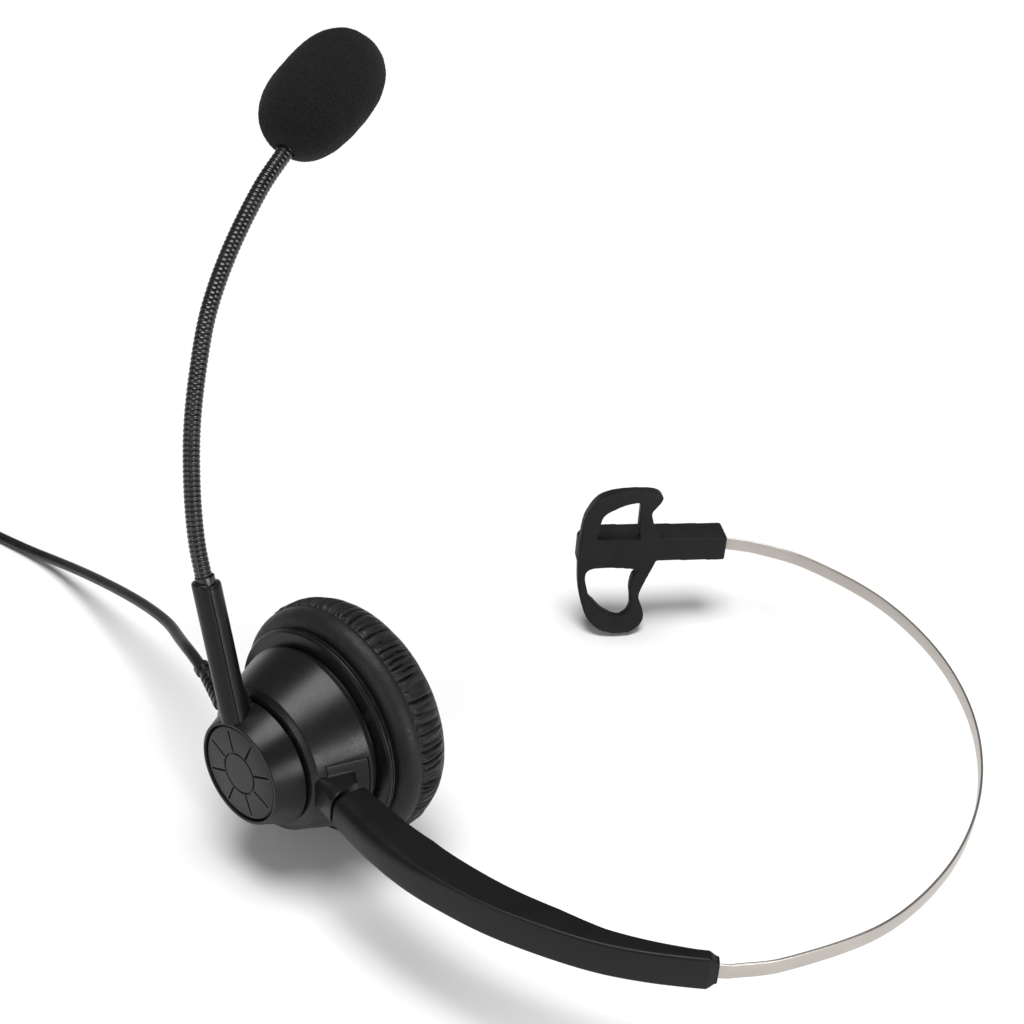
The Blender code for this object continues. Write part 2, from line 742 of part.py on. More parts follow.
# ---------------------------------------------------------------- headband and temple pad
BAND_KNOTS = (
    (40.7, -118.0),
    (62.5, -125.9),
    (85.8, -126.6),
    (108.6, -121.5),
    (129.6, -111.4),
    (147.9, -96.9),
    (162.3, -78.6),
    (171.4, -57.2),
    (173.2, -34.5),
    (169.6, -20.6),
)


def pad_point(along, away, z=0.0):
    """A point of the temple pad: along its stem towards the band, away from the head, and up."""
    turn = math.radians(PAD_ANGLE)
    stem = Vector((math.cos(turn), math.sin(turn), 0))
    out = Vector((-stem.y, stem.x, 0))
    return Vector((*PAD_CORNER, z)) + stem * along + out * away


def pad_place():
    turn = Matrix.Rotation(math.radians(PAD_ANGLE), 4, "Z")
    return Matrix.Translation(Vector((*PAD_CORNER, 0))) @ turn


def headband(slider):
    half = 0.5 * BAND_THICK
    radii = (BAND_ARC_R - half, BAND_ARC_R + half)
    sections = [
        arc_section(BAND_HIDDEN_END, radii, BAND_TAB_HALF_WIDTH),
        arc_section(BAND_TAB_END, radii, BAND_TAB_HALF_WIDTH),
    ]
    for i in range(9):
        angle = BAND_TAB_END + 0.1 + (BAND_EXIT - BAND_TAB_END) * i / 8
        sections.append(arc_section(angle, radii, BAND_HALF_WIDTH))
    exit_turn = math.radians(BAND_EXIT + 0.1)
    first = Vector(BAND_CENTRE) + BAND_ARC_R * Vector((math.cos(exit_turn), math.sin(exit_turn)))
    stem = [pad_point(along, away).xy for along, away in ((1.2, 2.95), (-4.0, 3.9), (-9.0, 4.0), (-14.0, 4.0))]
    path = curve_through([first, *BAND_KNOTS, *stem], 6.0)
    for i in range(1, len(path)):
        back = path[i - 1]
        front = path[min(i + 1, len(path) - 1)]
        along = (front - back).normalized()
        across = Vector((-along.y, along.x))
        ring = []
        for side, z in ((1, -1), (-1, -1), (-1, 1), (1, 1)):
            place = path[i] + across * side * half
            ring.append(Vector((*place, z * BAND_HALF_WIDTH)))
        sections.append(ring)
    add("headband", lofted(sections), "band_steel", slider)


# The pad's plate, along its stem and away from the stem's middle plane, for its upper and lower halves.
PAD_UPPER = ((-41.8, 0.0), (-41.6, 6.0), (-41.0, 11.0), (-40.0, 15.5), (-38.4, 19.3), (-35.6, 21.5), (-31.9, 22.5),
             (-28.0, 22.7), (-24.9, 22.4), (-22.6, 21.2), (-21.0, 18.6), (-21.4, 15.6), (-22.6, 12.3), (-21.9, 9.4),
             (-20.9, 6.6), (-19.6, 3.5), (-19.2, 0.0))
PAD_LOWER = ((-41.6, 6.0), (-41.0, 12.0), (-39.9, 16.5), (-38.6, 19.3), (-35.6, 21.7), (-31.9, 22.6), (-28.7, 22.7),
             (-25.9, 22.1), (-23.7, 20.8), (-22.6, 19.0), (-22.9, 17.0), (-23.9, 14.4), (-23.3, 12.4), (-22.0, 9.8),
             (-20.7, 6.6), (-19.6, 3.5))
WINDOW_UPPER = ((-36.2, 3.2), (-36.5, 6.0), (-36.3, 9.2), (-35.4, 11.7), (-33.4, 13.6), (-31.0, 15.4),
                (-28.4, 16.5), (-26.8, 16.2), (-26.0, 12.0), (-25.6, 6.4), (-25.6, 3.2))
WINDOW_LOWER = ((-38.2, 6.3), (-38.4, 12.9), (-36.6, 15.2), (-34.3, 17.2), (-31.6, 18.5), (-29.3, 18.8),
                (-27.6, 18.0), (-26.5, 16.4), (-26.4, 14.0), (-26.6, 11.9), (-26.0, 8.6), (-25.6, 6.3))


def pad_away(z):
    """How far the middle of the curved plate lies from the head. Near the stem it's flush with the stem's face."""
    curved, flush = 3.0 - 0.0175 * z * z, 0.5 * PAD_THICK + 0.05
    return 0.5 * (curved + flush - math.sqrt((curved - flush) ** 2 + 0.3))


def temple_pad(slider):
    place = pad_place()
    outline = list(PAD_UPPER) + [(along, -z) for along, z in reversed(PAD_LOWER)]
    side = place @ Matrix.Rotation(math.radians(90), 4, "X") @ Matrix.Scale(-1, 4, (0, 0, 1))
    plate = prism(outline, -14.0, 10.0, side)
    pad = add("temple_pad", plate, "pad_rubber", slider)
    curve = []
    for i in range(25):
        z = -24.0 + 2.0 * i
        curve.append((pad_away(z), z))
    rim = [(away - 0.5 * PAD_THICK, z) for away, z in curve]
    rim += [(away + 0.5 * PAD_THICK, z) for away, z in reversed(curve)]
    slab = lofted([[place @ Vector((along, away, z)) for away, z in rim] for along in (-46.0, -10.0)])
    boolean(pad, "INTERSECT", slab, "slab")
    boolean(pad, "DIFFERENCE", prism(WINDOW_UPPER, -14.0, 10.0, side), "upper_window")
    lower = [(along, -z) for along, z in WINDOW_LOWER]
    boolean(pad, "DIFFERENCE", prism(lower, -14.0, 10.0, side), "lower_window")
    stem = [(-42.0, 1.0), (-41.0, 0.0), (0.0, 0.0), (0.0, 8.8), (-36.0, 8.8), (-40.5, 6.6), (-42.0, 4.4)]
    boolean(pad, "UNION", prism(stem, -3.55, 3.55, place), "stem")
    boolean(pad, "DIFFERENCE", box((-30.0, 1.9, -2.3), (1.0, 6.2, 2.3), place), "stem_slot")
    core = box((-29.0, 4.75, -1.9), (-1.2, 5.75, 1.9), place)
    add("temple_core", core, "driver_plastic", slider)


# ---------------------------------------------------------------- cord, in world metres
CORD_R = 0.0014
CORD_KNOTS = (
    (-0.0684, 0.0737, 0.0316),
    (-0.0673, 0.0775, 0.0317),
    (-0.0655, 0.0825, 0.0308),
    (-0.0625, 0.0890, 0.0283),
    (-0.0577, 0.1000, 0.0249),
    (-0.0540, 0.1125, 0.0213),
    (-0.0512, 0.1250, 0.0177),
    (-0.0489, 0.1370, 0.0141),
    (-0.0470, 0.1490, 0.0106),
    (-0.0454, 0.1610, 0.0071),
    (-0.0445, 0.1730, 0.0040),
    (-0.0448, 0.1840, 0.0021),
    (-0.0463, 0.1950, 0.0015),
    (-0.0487, 0.2050, 0.0015),
    (-0.0512, 0.2143, 0.0015),
)
TAIL_KNOTS = (
    (-0.0867, 0.2108, 0.0015),
    (-0.0872, 0.2074, 0.0017),
    (-0.0877, 0.2040, 0.0026),
    (-0.0880, 0.2005, 0.0036),
    (-0.0880, 0.1975, 0.0039),
)

# The coil, the tie and the plug are in millimetres on the same floor.
COIL_CENTRE = (-70.3, 226.0)
COIL_IN_R = 10.5
COIL_OUT_R = 21.0
COIL_LOW = 0.1
COIL_HIGH = 11.3
TIE_HALF = 2.0
TIE_THICK = 0.8
PLUG_X = -88.0
PLUG_BACK_Y = 188.9
PLUG_FRONT_Y = 175.6
PLUG_HALF = 3.3
PLUG_LOW = 0.1
PLUG_HIGH = 7.7
CONTACT_PITCH = 1.1


def cord_tube(name, knots, spacing):
    points = curve_through(knots, spacing)
    line = bpy.data.curves.new(name, "CURVE")
    line.dimensions = "3D"
    line.bevel_depth = CORD_R
    line.bevel_resolution = 2
    line.use_fill_caps = True
    run = line.splines.new("POLY")
    run.points.add(len(points) - 1)
    for spot, point in zip(run.points, points):
        spot.co = (*point, 1.0)
    line.materials.append(bpy.data.materials["cord_jacket"])
    bpy.context.scene.collection.objects.link(bpy.data.objects.new(name, line))


def cord_coil(floor):
    """The outer shape of the wound length, with a groove where the tie grips it."""
    chamfer = 2.0
    profile = (
        (COIL_LOW, COIL_IN_R + chamfer),
        (COIL_LOW, COIL_OUT_R - chamfer),
        (COIL_LOW + chamfer, COIL_OUT_R),
        (COIL_HIGH - chamfer, COIL_OUT_R),
        (COIL_HIGH, COIL_OUT_R - chamfer),
        (COIL_HIGH, COIL_IN_R + chamfer),
        (COIL_HIGH - chamfer, COIL_IN_R),
        (COIL_LOW + chamfer, COIL_IN_R),
    )
    x, y = COIL_CENTRE
    coil = add("cord_coil", turned(profile, along_x((x, y, 0), (0, 0, 1))), "cord_jacket", floor)
    depth = TIE_THICK + GAP
    inside, outside = y + COIL_IN_R, y + COIL_OUT_R
    half = TIE_HALF + GAP
    grooves = (
        ("groove_under", (inside - 2, COIL_LOW - 1), (outside + 2, COIL_LOW + depth)),
        ("groove_over", (inside - 2, COIL_HIGH - depth), (outside + 2, COIL_HIGH + 1)),
        ("groove_in", (inside - 2, COIL_LOW - 1), (inside + depth, COIL_HIGH + 1)),
        ("groove_out", (outside - depth, COIL_LOW - 1), (outside + 2, COIL_HIGH + 1)),
    )
    for label, (low_y, low_z), (high_y, high_z) in grooves:
        cut = box((x - half, low_y, low_z), (x + half, high_y, high_z))
        boolean(coil, "DIFFERENCE", cut, label)
    low = (inside, COIL_LOW)
    high = (outside, COIL_HIGH)
    loop = box((x - TIE_HALF, *low), (x + TIE_HALF, *high))
    tie = add("cord_tie", loop, "arm_plastic", floor)
    hollow = box((x - 5, low[0] + TIE_THICK, low[1] + TIE_THICK), (x + 5, high[0] - TIE_THICK, high[1] - TIE_THICK))
    boolean(tie, "DIFFERENCE", hollow, "hollow")


def plug(floor):
    """A four-contact modular plug lying on its side."""
    low = (PLUG_X - PLUG_HALF, PLUG_FRONT_Y, PLUG_LOW)
    high = (PLUG_X + PLUG_HALF, PLUG_BACK_Y, PLUG_HIGH)
    body = add("plug_body", box(low, high), "plug_clear", floor)
    middle = 0.5 * (PLUG_LOW + PLUG_HIGH)
    face = PLUG_X + PLUG_HALF
    recess = box((face - 1.9, PLUG_FRONT_Y - 1, middle - 2.4), (face + 1, PLUG_FRONT_Y + 5.0, middle + 2.4))
    boolean(body, "DIFFERENCE", recess, "contact_recess")
    for i in range(4):
        z = middle + CONTACT_PITCH * (i - 1.5)
        blade = box((face - 1.6, PLUG_FRONT_Y + 0.6, z - 0.25), (face - 0.3, PLUG_FRONT_Y + 4.7, z + 0.25))
        add(f"plug_contact_{i + 1}", blade, "contact_gold", floor)
    back = PLUG_X - PLUG_HALF - GAP
    leaf = []
    for y, away in ((PLUG_FRONT_Y + 0.8, 0.0), (PLUG_FRONT_Y + 6.0, 0.5), (PLUG_BACK_Y + 2.0, 2.2)):
        leaf.append([(back - away - 0.9, y, middle - 1.6), (back - away, y, middle - 1.6),
                     (back - away, y, middle + 1.6), (back - away - 0.9, y, middle + 1.6)])
    add("plug_latch", lofted(leaf), "plug_clear", floor)
    long = 8.0
    sleeve = ((0, 0), (0, 1.9), (long - 2.2, 2.3), (long - 2.0, 3.0), (long, 3.0), (long, 0))
    place = along_x((PLUG_X, PLUG_BACK_Y + GAP + long, middle), (0, -1, 0))
    add("plug_boot", turned(sleeve, place, SMALL_STEPS), "neck_rubber", floor)


def main():
    clear_scene()
    lay = Matrix.Translation(REST_SHIFT) @ Matrix.Rotation(math.radians(REST_TILT), 4, "Y")
    rest = empty("rest_pose", None, lay)
    cup = joint_empty("cup_frame", rest, (0.0, 0.0, 0.0))
    boom = joint_empty("boom_swivel", rest, (0.0, 0.0, 0.0))
    bend_point = tuple(neck_place(BEND_AT))
    sweep_point = tuple(neck_place(SWEEP_AT))
    bend = joint_empty("gooseneck_bend", boom, bend_point)
    sweep = joint_empty("gooseneck_sweep", bend, sweep_point, bend_point)
    pin_point = (*TILT_PIN, 0.0)
    band_point = (*BAND_CENTRE, 0.0)
    arm = joint_empty("cup_tilt", rest, pin_point)
    slider = joint_empty("band_slide", arm, band_point, pin_point)

    speaker_housing(cup)
    arm_boss(cup)
    tilt_pin(cup)
    bezel_ring(cup)
    speaker_parts(cup)
    ear_cushion(cup)
    strain_relief(cup)
    hub_axle(cup)

    boom_hub(boom)
    hub_cap(boom)
    hub_fasteners(boom)
    boom_tube(boom)
    gooseneck(boom, bend, sweep)
    microphone(sweep)

    arm_shells(arm)
    arm_screws(arm)
    band_spring(arm)
    headband(slider)
    temple_pad(slider)

    floor = joint_empty("floor_frame", None, (0.0, 0.0, 0.0))
    cord_coil(floor)
    plug(floor)
    cord_tube("cord", CORD_KNOTS, 0.0046)
    cord_tube("cord_tail", TAIL_KNOTS, 0.0035)


main()
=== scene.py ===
"""The looks of the office headset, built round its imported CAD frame.

Pieces are drawn in the model's own axes, in millimetres, as in part.py, and DESIGN lays them down:
    X  runs along the ear cup's axis, from the hub's front rim towards the cushion
    Y  runs away from the crown of the headband, towards the cord
    Z  is across the headband's plane
The cord and what is on it are in world metres or millimetres, on the floor.
"""

import json
import math

import bmesh
import bpy
from mathutils import Matrix, Vector, noise


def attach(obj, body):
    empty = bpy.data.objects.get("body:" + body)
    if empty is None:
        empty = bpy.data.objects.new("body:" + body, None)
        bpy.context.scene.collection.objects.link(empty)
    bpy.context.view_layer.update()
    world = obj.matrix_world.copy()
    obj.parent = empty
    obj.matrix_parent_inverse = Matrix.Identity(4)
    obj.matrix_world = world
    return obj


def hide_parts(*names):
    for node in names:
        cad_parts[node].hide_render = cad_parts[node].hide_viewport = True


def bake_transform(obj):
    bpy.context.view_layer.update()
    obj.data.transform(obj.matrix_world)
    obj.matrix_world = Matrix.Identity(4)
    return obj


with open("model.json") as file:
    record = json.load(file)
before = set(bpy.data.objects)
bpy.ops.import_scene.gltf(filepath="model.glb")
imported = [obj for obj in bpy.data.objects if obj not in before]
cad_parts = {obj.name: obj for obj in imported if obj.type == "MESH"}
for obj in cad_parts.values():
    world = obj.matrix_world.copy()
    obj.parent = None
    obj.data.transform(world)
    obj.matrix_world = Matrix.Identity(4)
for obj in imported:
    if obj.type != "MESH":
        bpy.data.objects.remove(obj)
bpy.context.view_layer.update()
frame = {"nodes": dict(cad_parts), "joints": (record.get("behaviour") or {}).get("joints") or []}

MM = 0.001
# Where the swivel joint's point lies on the model's X axis.
SWIVEL_X = 3.0
JOINTS = {joint["name"]: joint for joint in frame["joints"]}


def design_place():
    """The placement that takes the model's axes, in millimetres, to the row frame, in metres."""
    x_axis = Vector(JOINTS["boom_swivel"]["axis"]).normalized()
    z_axis = Vector(JOINTS["cup_tilt"]["axis"]).normalized()
    y_axis = z_axis.cross(x_axis).normalized()
    origin = Vector(JOINTS["boom_swivel"]["pos_m"]) - SWIVEL_X * MM * x_axis
    turn = Matrix((x_axis, y_axis, z_axis)).transposed().to_4x4()
    return Matrix.Translation(origin) @ turn @ Matrix.Scale(MM, 4)


DESIGN = design_place()
FLOOR_MM = Matrix.Scale(MM, 4)


# ---------------------------------------------------------------- curves and outlines
def curve_through(knots, spacing):
    """Points about one spacing apart on a smooth curve through the knots."""
    knots = [Vector(knot) for knot in knots]
    ends = [2 * knots[0] - knots[1]] + knots + [2 * knots[-1] - knots[-2]]
    dense = []
    for a, b, c, d in zip(ends, ends[1:], ends[2:], ends[3:]):
        for i in range(24):
            t = i / 24
            dense.append(
                0.5 * (2 * b + (c - a) * t + (2 * a - 5 * b + 4 * c - d) * t**2
                       + (3 * b - 3 * c + d - a) * t**3)
            )
    dense.append(knots[-1])
    return spaced(dense, spacing)


def runs_of(points):
    runs = [0.0]
    for a, b in zip(points, points[1:]):
        runs.append(runs[-1] + (b - a).length)
    return runs


def spaced(points, spacing):
    runs = runs_of(points)
    count = max(2, round(runs[-1] / spacing) + 1)
    return [point_at(points, runs, runs[-1] * i / (count - 1)) for i in range(count)]


def point_at(points, runs, run):
    low, high = 0, len(points) - 2
    while low < high:
        middle = (low + high) // 2
        if runs[middle + 1] < run:
            low = middle + 1
        else:
            high = middle
    part = (run - runs[low]) / (runs[low + 1] - runs[low])
    return points[low].lerp(points[low + 1], min(1.0, max(0.0, part)))


def rounded(points, radius, closed=False, steps=5):
    """An outline with its corners turned into curves. The radius is one number, or one for each point."""
    made = []
    for i, spot in enumerate(points):
        wanted = radius[i] if hasattr(radius, "__len__") else radius
        here = Vector(spot)
        if wanted <= 0 or (not closed and i in (0, len(points) - 1)):
            made.append(here)
            continue
        before = Vector(points[i - 1]) - here
        after = Vector(points[(i + 1) % len(points)]) - here
        reach = wanted / math.tan(0.5 * before.angle(after))
        reach = min(reach, 0.48 * before.length, 0.48 * after.length)
        start = here + before.normalized() * reach
        end = here + after.normalized() * reach
        for k in range(steps + 1):
            t = k / steps
            made.append(start * (1 - t) ** 2 + here * 2 * t * (1 - t) + end * t * t)
    return made


def ease(low, high, value):
    t = min(1.0, max(0.0, (value - low) / (high - low)))
    return t * t * (3 - 2 * t)


# ---------------------------------------------------------------- shapes
def bridge(shape, near, far):
    count = max(len(near), len(far))
    for i in range(count):
        j = (i + 1) % count
        corners = [near[i % len(near)], near[j % len(near)], far[j % len(far)], far[i % len(far)]]
        shape.faces.new(list(dict.fromkeys(corners)))


def lofted(sections):
    """A solid through outlines that have the same number of points, with a face at each end."""
    shape = bmesh.new()
    rings = [[shape.verts.new(point) for point in section] for section in sections]
    for near, far in zip(rings, rings[1:]):
        bridge(shape, near, far)
    if len(rings[0]) > 2:
        shape.faces.new(rings[0])
    if len(rings[-1]) > 2:
        shape.faces.new(rings[-1])
    return shape


def turned(profile, place=None, steps=192, change=None):
    """A solid turned about X from (along, radius) points. change(along, radius, angle) may move a point."""
    place = place or Matrix()
    shape = bmesh.new()
    rings = []
    for along, radius in profile:
        ring = []
        for i in range(steps if radius > 1e-6 else 1):
            angle = math.tau * i / steps
            x, r = change(along, radius, angle) if change else (along, radius)
            point = Vector((x, r * math.cos(angle), r * math.sin(angle)))
            ring.append(shape.verts.new(place @ point))
        rings.append(ring)
    for near, far in zip(rings, rings[1:]):
        bridge(shape, near, far)
    if profile[0][1] > 1e-6:
        bridge(shape, rings[-1], rings[0])
    return shape


def prism(outline, low, high, place=None):
    place = place or Matrix()
    return lofted([[place @ Vector((x, y, z)) for x, y in outline] for z in (low, high)])


def block(low, high, place=None):
    outline = ((low[0], low[1]), (high[0], low[1]), (high[0], high[1]), (low[0], high[1]))
    return prism(outline, low[2], high[2], place)


def along_x(origin, direction):
    """A placement that takes the X axis to a direction from an origin."""
    turn = Vector(direction).to_track_quat("X", "Z").to_matrix().to_4x4()
    return Matrix.Translation(Vector(origin)) @ turn


def rod(start, end, radius, steps=48):
    reach = (Vector(end) - Vector(start)).length
    place = along_x(start, Vector(end) - Vector(start))
    return turned(((0, 0), (0, radius), (reach, radius), (reach, 0)), place, steps)


def swept(points, radii, steps=16):
    """A round solid along points, with a radius at each."""
    across = Vector((0, 1, 0.2))
    sections = []
    for i, (point, radius) in enumerate(zip(points, radii)):
        ahead = (points[min(i + 1, len(points) - 1)] - points[max(i - 1, 0)]).normalized()
        across = (across - ahead * across.dot(ahead)).normalized()
        beside = ahead.cross(across)
        angles = [math.tau * k / steps for k in range(steps)]
        sections.append([point + radius * (math.cos(a) * across + math.sin(a) * beside) for a in angles])
    return lofted(sections)


def joined(shapes):
    """Separate closed shapes as one."""
    whole = bmesh.new()
    for part in shapes:
        held = bpy.data.meshes.new("held")
        bmesh.ops.recalc_face_normals(part, faces=part.faces)
        part.to_mesh(held)
        part.free()
        whole.from_mesh(held)
        bpy.data.meshes.remove(held)
    return whole


def facing_out(shape):
    bmesh.ops.recalc_face_normals(shape, faces=shape.faces)
    if shape.calc_volume(signed=True) < 0:
        bmesh.ops.reverse_faces(shape, faces=shape.faces)


def make(name, shape, place=DESIGN):
    """One object of a shape drawn in millimetres."""
    facing_out(shape)
    mesh = bpy.data.meshes.new(name)
    shape.to_mesh(mesh)
    shape.free()
    mesh.transform(place)
    made = bpy.data.objects.new(name, mesh)
    bpy.context.scene.collection.objects.link(made)
    return made


def bake(made):
    """Applies the modifiers."""
    graph = bpy.context.evaluated_depsgraph_get()
    mesh = bpy.data.meshes.new_from_object(made.evaluated_get(graph))
    old = made.data
    made.modifiers.clear()
    made.data = mesh
    bpy.data.meshes.remove(old)


def combine(made, operation, shape, place=DESIGN):
    """Cuts a shape from a piece, adds it, or keeps what the two share."""
    tool = make("tool", shape, place)
    change = made.modifiers.new("combine", "BOOLEAN")
    change.operation = operation
    change.solver = "EXACT"
    change.object = tool
    bake(made)
    bpy.data.objects.remove(tool, do_unlink=True)


def melted(made, voxel, passes, grow=0.0):
    """Remeshes a piece finely and softens it, which rounds its edges and fills its inner corners a little."""
    remesh = made.modifiers.new("remesh", "REMESH")
    remesh.mode = "VOXEL"
    remesh.voxel_size = voxel * MM
    soften = made.modifiers.new("soften", "SMOOTH")
    soften.iterations = passes
    soften.factor = 0.5
    if grow:
        swell = made.modifiers.new("swell", "DISPLACE")
        swell.strength = grow * MM
        swell.mid_level = 0.0
    bake(made)


def finish_piece(made, look, body, nodes, sharp=35.0, bevel=0.0):
    """Smooth shading, edge bevel, material, the body it rides on, and the CAD nodes it stands for."""
    mesh = made.data
    mesh.materials.clear()
    mesh.materials.append(look)
    mesh.shade_smooth()
    if bevel:
        edge = made.modifiers.new("edges", "BEVEL")
        edge.width = bevel * MM
        edge.segments = 3
        edge.limit_method = "ANGLE"
        edge.angle_limit = math.radians(35)
        edge.use_clamp_overlap = True
        bake(made)
        made.data.shade_smooth()
    made.data.set_sharp_from_angle(angle=math.radians(sharp))
    if body:
        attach(made, body)
    if nodes:
        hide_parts(*nodes)
    return made


# ---------------------------------------------------------------- materials
def shade(colour, factor, lift=0.0):
    return [factor * part + lift for part in colour]


class Nodes:
    """Builds one procedural material, with its textures in the piece's own metres."""

    def __init__(self, name):
        self.material = bpy.data.materials.new(name)
        self.material.use_nodes = True
        self.tree = self.material.node_tree
        self.shader = self.tree.nodes["Principled BSDF"]
        self.place = self.tree.nodes.new("ShaderNodeTexCoord").outputs["Object"]
        self.bump_in = None

    def node(self, kind, inputs=None, **settings):
        made = self.tree.nodes.new(kind)
        for key, value in settings.items():
            setattr(made, key, value)
        for key, value in (inputs or {}).items():
            self.put(made.inputs[key], value)
        return made

    def put(self, socket, value):
        if isinstance(value, bpy.types.NodeSocket):
            self.tree.links.new(value, socket)
        else:
            socket.default_value = value

    def noise(self, size, detail=3.0, roughness=0.55, where=None, distortion=0.0):
        """A noise from 0 to 1 with features of a size in millimetres."""
        made = self.node("ShaderNodeTexNoise", {
            "Vector": where or self.place,
            "Scale": 1.0 / (size * MM),
            "Detail": detail,
            "Roughness": roughness,
            "Distortion": distortion,
        })
        return made.outputs["Fac"]

    def cells(self, size, feature="F1", randomness=1.0, where=None):
        made = self.node("ShaderNodeTexVoronoi", {
            "Vector": where or self.place,
            "Scale": 1.0 / (size * MM),
            "Randomness": randomness,
        }, feature=feature)
        return made.outputs["Distance"]

    def ramp(self, value, low, high, start=0.0, end=1.0):
        """Takes a value from low..high to start..end, smoothly."""
        made = self.node("ShaderNodeMapRange", {
            "Value": value, "From Min": low, "From Max": high, "To Min": start, "To Max": end,
        }, interpolation_type="SMOOTHSTEP")
        return made.outputs["Result"]

    def sum(self, kind, a, b):
        made = self.node("ShaderNodeMath", operation=kind)
        self.put(made.inputs[0], a)
        self.put(made.inputs[1], b)
        return made.outputs[0]

    def between(self, share, dark, light):
        """Mixes two colours. Each is three numbers or a colour socket."""
        made = self.node("ShaderNodeMix", data_type="RGBA")
        self.put(made.inputs["Factor"], share)
        for key, colour in (("A", dark), ("B", light)):
            self.put(made.inputs[key], colour if isinstance(colour, bpy.types.NodeSocket) else (*colour, 1.0))
        return made.outputs["Result"]

    def bump(self, height, depth, strength=1.0):
        """Adds relief of a depth in millimetres."""
        inputs = {"Height": height, "Distance": depth * MM, "Strength": strength}
        if self.bump_in:
            inputs["Normal"] = self.bump_in
        self.bump_in = self.node("ShaderNodeBump", inputs).outputs["Normal"]
        self.put(self.shader.inputs["Normal"], self.bump_in)

    def set(self, **values):
        for key, value in values.items():
            self.put(self.shader.inputs[key.replace("_", " ")], value)
        return self

    def worn_edge(self):
        """1 on convex edges and 0 elsewhere, from the mesh's own pointiness."""
        found = self.node("ShaderNodeNewGeometry").outputs["Pointiness"]
        return self.ramp(found, 0.52, 0.60)


def moulded(name, colour, roughness, grain=0.35, relief=0.003, lift=0.35, specular=0.24):
    """Moulded plastic: a fine spark-eroded grain, slow gloss changes, and edges rubbed a little brighter."""
    look = Nodes(name)
    patchy = look.noise(9.0, 2.0)
    tone = look.between(patchy, shade(colour, 0.86), shade(colour, 1.16))
    edge = look.worn_edge()
    look.set(Base_Color=look.between(look.sum("MULTIPLY", edge, lift), tone, shade(colour, 2.6, 0.01)))
    fine = look.noise(grain, 3.0, 0.5)
    gloss = look.sum("ADD", look.ramp(patchy, 0.2, 0.8, roughness - 0.05, roughness + 0.05),
                     look.ramp(fine, 0.3, 0.7, -0.04, 0.04))
    look.set(Roughness=look.sum("SUBTRACT", gloss, look.sum("MULTIPLY", edge, 0.08)))
    look.bump(fine, relief)
    return look.set(Specular_IOR_Level=specular).material


def leatherette():
    """Soft coated fabric: pebbled grain, fine creases and a dull sheen."""
    look = Nodes("leatherette")
    mottled = look.noise(4.0, 3.0)
    pebble = look.cells(0.75, "SMOOTH_F1")
    crease = look.noise(1.5, 5.0, 0.65, distortion=0.6)
    look.set(Base_Color=look.between(mottled, (0.005, 0.005, 0.006), (0.013, 0.013, 0.014)))
    look.set(Roughness=look.ramp(look.sum("ADD", mottled, pebble), 0.3, 1.1, 0.36, 0.55))
    look.bump(pebble, 0.05, 0.6)
    look.bump(crease, 0.15, 0.7)
    return look.set(Sheen_Weight=0.02, Sheen_Roughness=0.4, Specular_IOR_Level=0.26).material


def open_foam():
    """Open-cell foam: thin walls in relief, with the pits between them painted darker as shade."""
    look = Nodes("open_foam")
    pits = look.cells(0.42)
    fine = look.noise(0.28, 4.0, 0.7)
    wall = look.ramp(pits, 0.10, 0.80)
    # Darker colour in the pits and lighter on the walls: painted shade in the cells' hollows.
    look.set(Base_Color=look.between(wall, (0.002, 0.002, 0.002), (0.007, 0.007, 0.008)))
    look.set(Roughness=look.ramp(fine, 0.3, 0.7, 0.85, 1.0))
    look.bump(look.sum("ADD", wall, look.sum("MULTIPLY", fine, 0.5)), 0.11)
    return look.set(Sheen_Weight=0.03, Sheen_Roughness=0.6, Specular_IOR_Level=0.15).material


def rubber(name, colour, roughness, grain=0.5, relief=0.015, specular=0.30):
    """Moulded rubber: slightly uneven, with a faint bloom."""
    look = Nodes(name)
    bloom = look.noise(5.0, 3.0)
    fine = look.noise(grain, 4.0, 0.6)
    share = look.ramp(bloom, 0.3, 0.75)
    look.set(Base_Color=look.between(share, shade(colour, 0.8), shade(colour, 1.25, 0.002)))
    uneven = look.sum("ADD", bloom, fine)
    look.set(Roughness=look.ramp(uneven, 0.6, 1.4, roughness - 0.06, roughness + 0.08))
    look.bump(fine, relief)
    return look.set(Sheen_Weight=0.015, Sheen_Roughness=0.5, Specular_IOR_Level=specular).material


def brushed_steel(name, colour, roughness, brushed=True):
    """Steel with fine lines along it, from the piece's UV lengthwise and across, in millimetres."""
    look = Nodes(name)
    if brushed:
        along = look.tree.nodes.new("ShaderNodeUVMap").outputs["UV"]
        stretch = look.node("ShaderNodeVectorMath", {0: along, 1: (0.02, 14.0, 1.0)}, operation="MULTIPLY")
        where = stretch.outputs[0]
        lines = look.node("ShaderNodeTexNoise", {"Vector": where, "Scale": 1.0, "Detail": 5.0}).outputs["Fac"]
    else:
        lines = look.noise(0.3, 4.0)
    smudge = look.noise(12.0, 3.0)
    tint = look.between(look.ramp(smudge, 0.3, 0.7), shade(colour, 0.9), colour)
    look.set(Base_Color=tint, Metallic=1.0)
    uneven = look.sum("ADD", lines, smudge)
    look.set(Roughness=look.ramp(uneven, 0.6, 1.4, roughness - 0.06, roughness + 0.10))
    look.bump(lines, 0.004)
    return look.material


def clear_plastic():
    look = Nodes("clear_plastic")
    cloudy = look.noise(2.5, 3.0)
    look.set(Base_Color=look.between(cloudy, (0.80, 0.83, 0.85), (0.94, 0.95, 0.96)))
    look.set(Roughness=look.ramp(cloudy, 0.3, 0.7, 0.06, 0.16), IOR=1.49, Transmission_Weight=0.85)
    look.bump(look.noise(0.8, 3.0), 0.004)
    return look.material


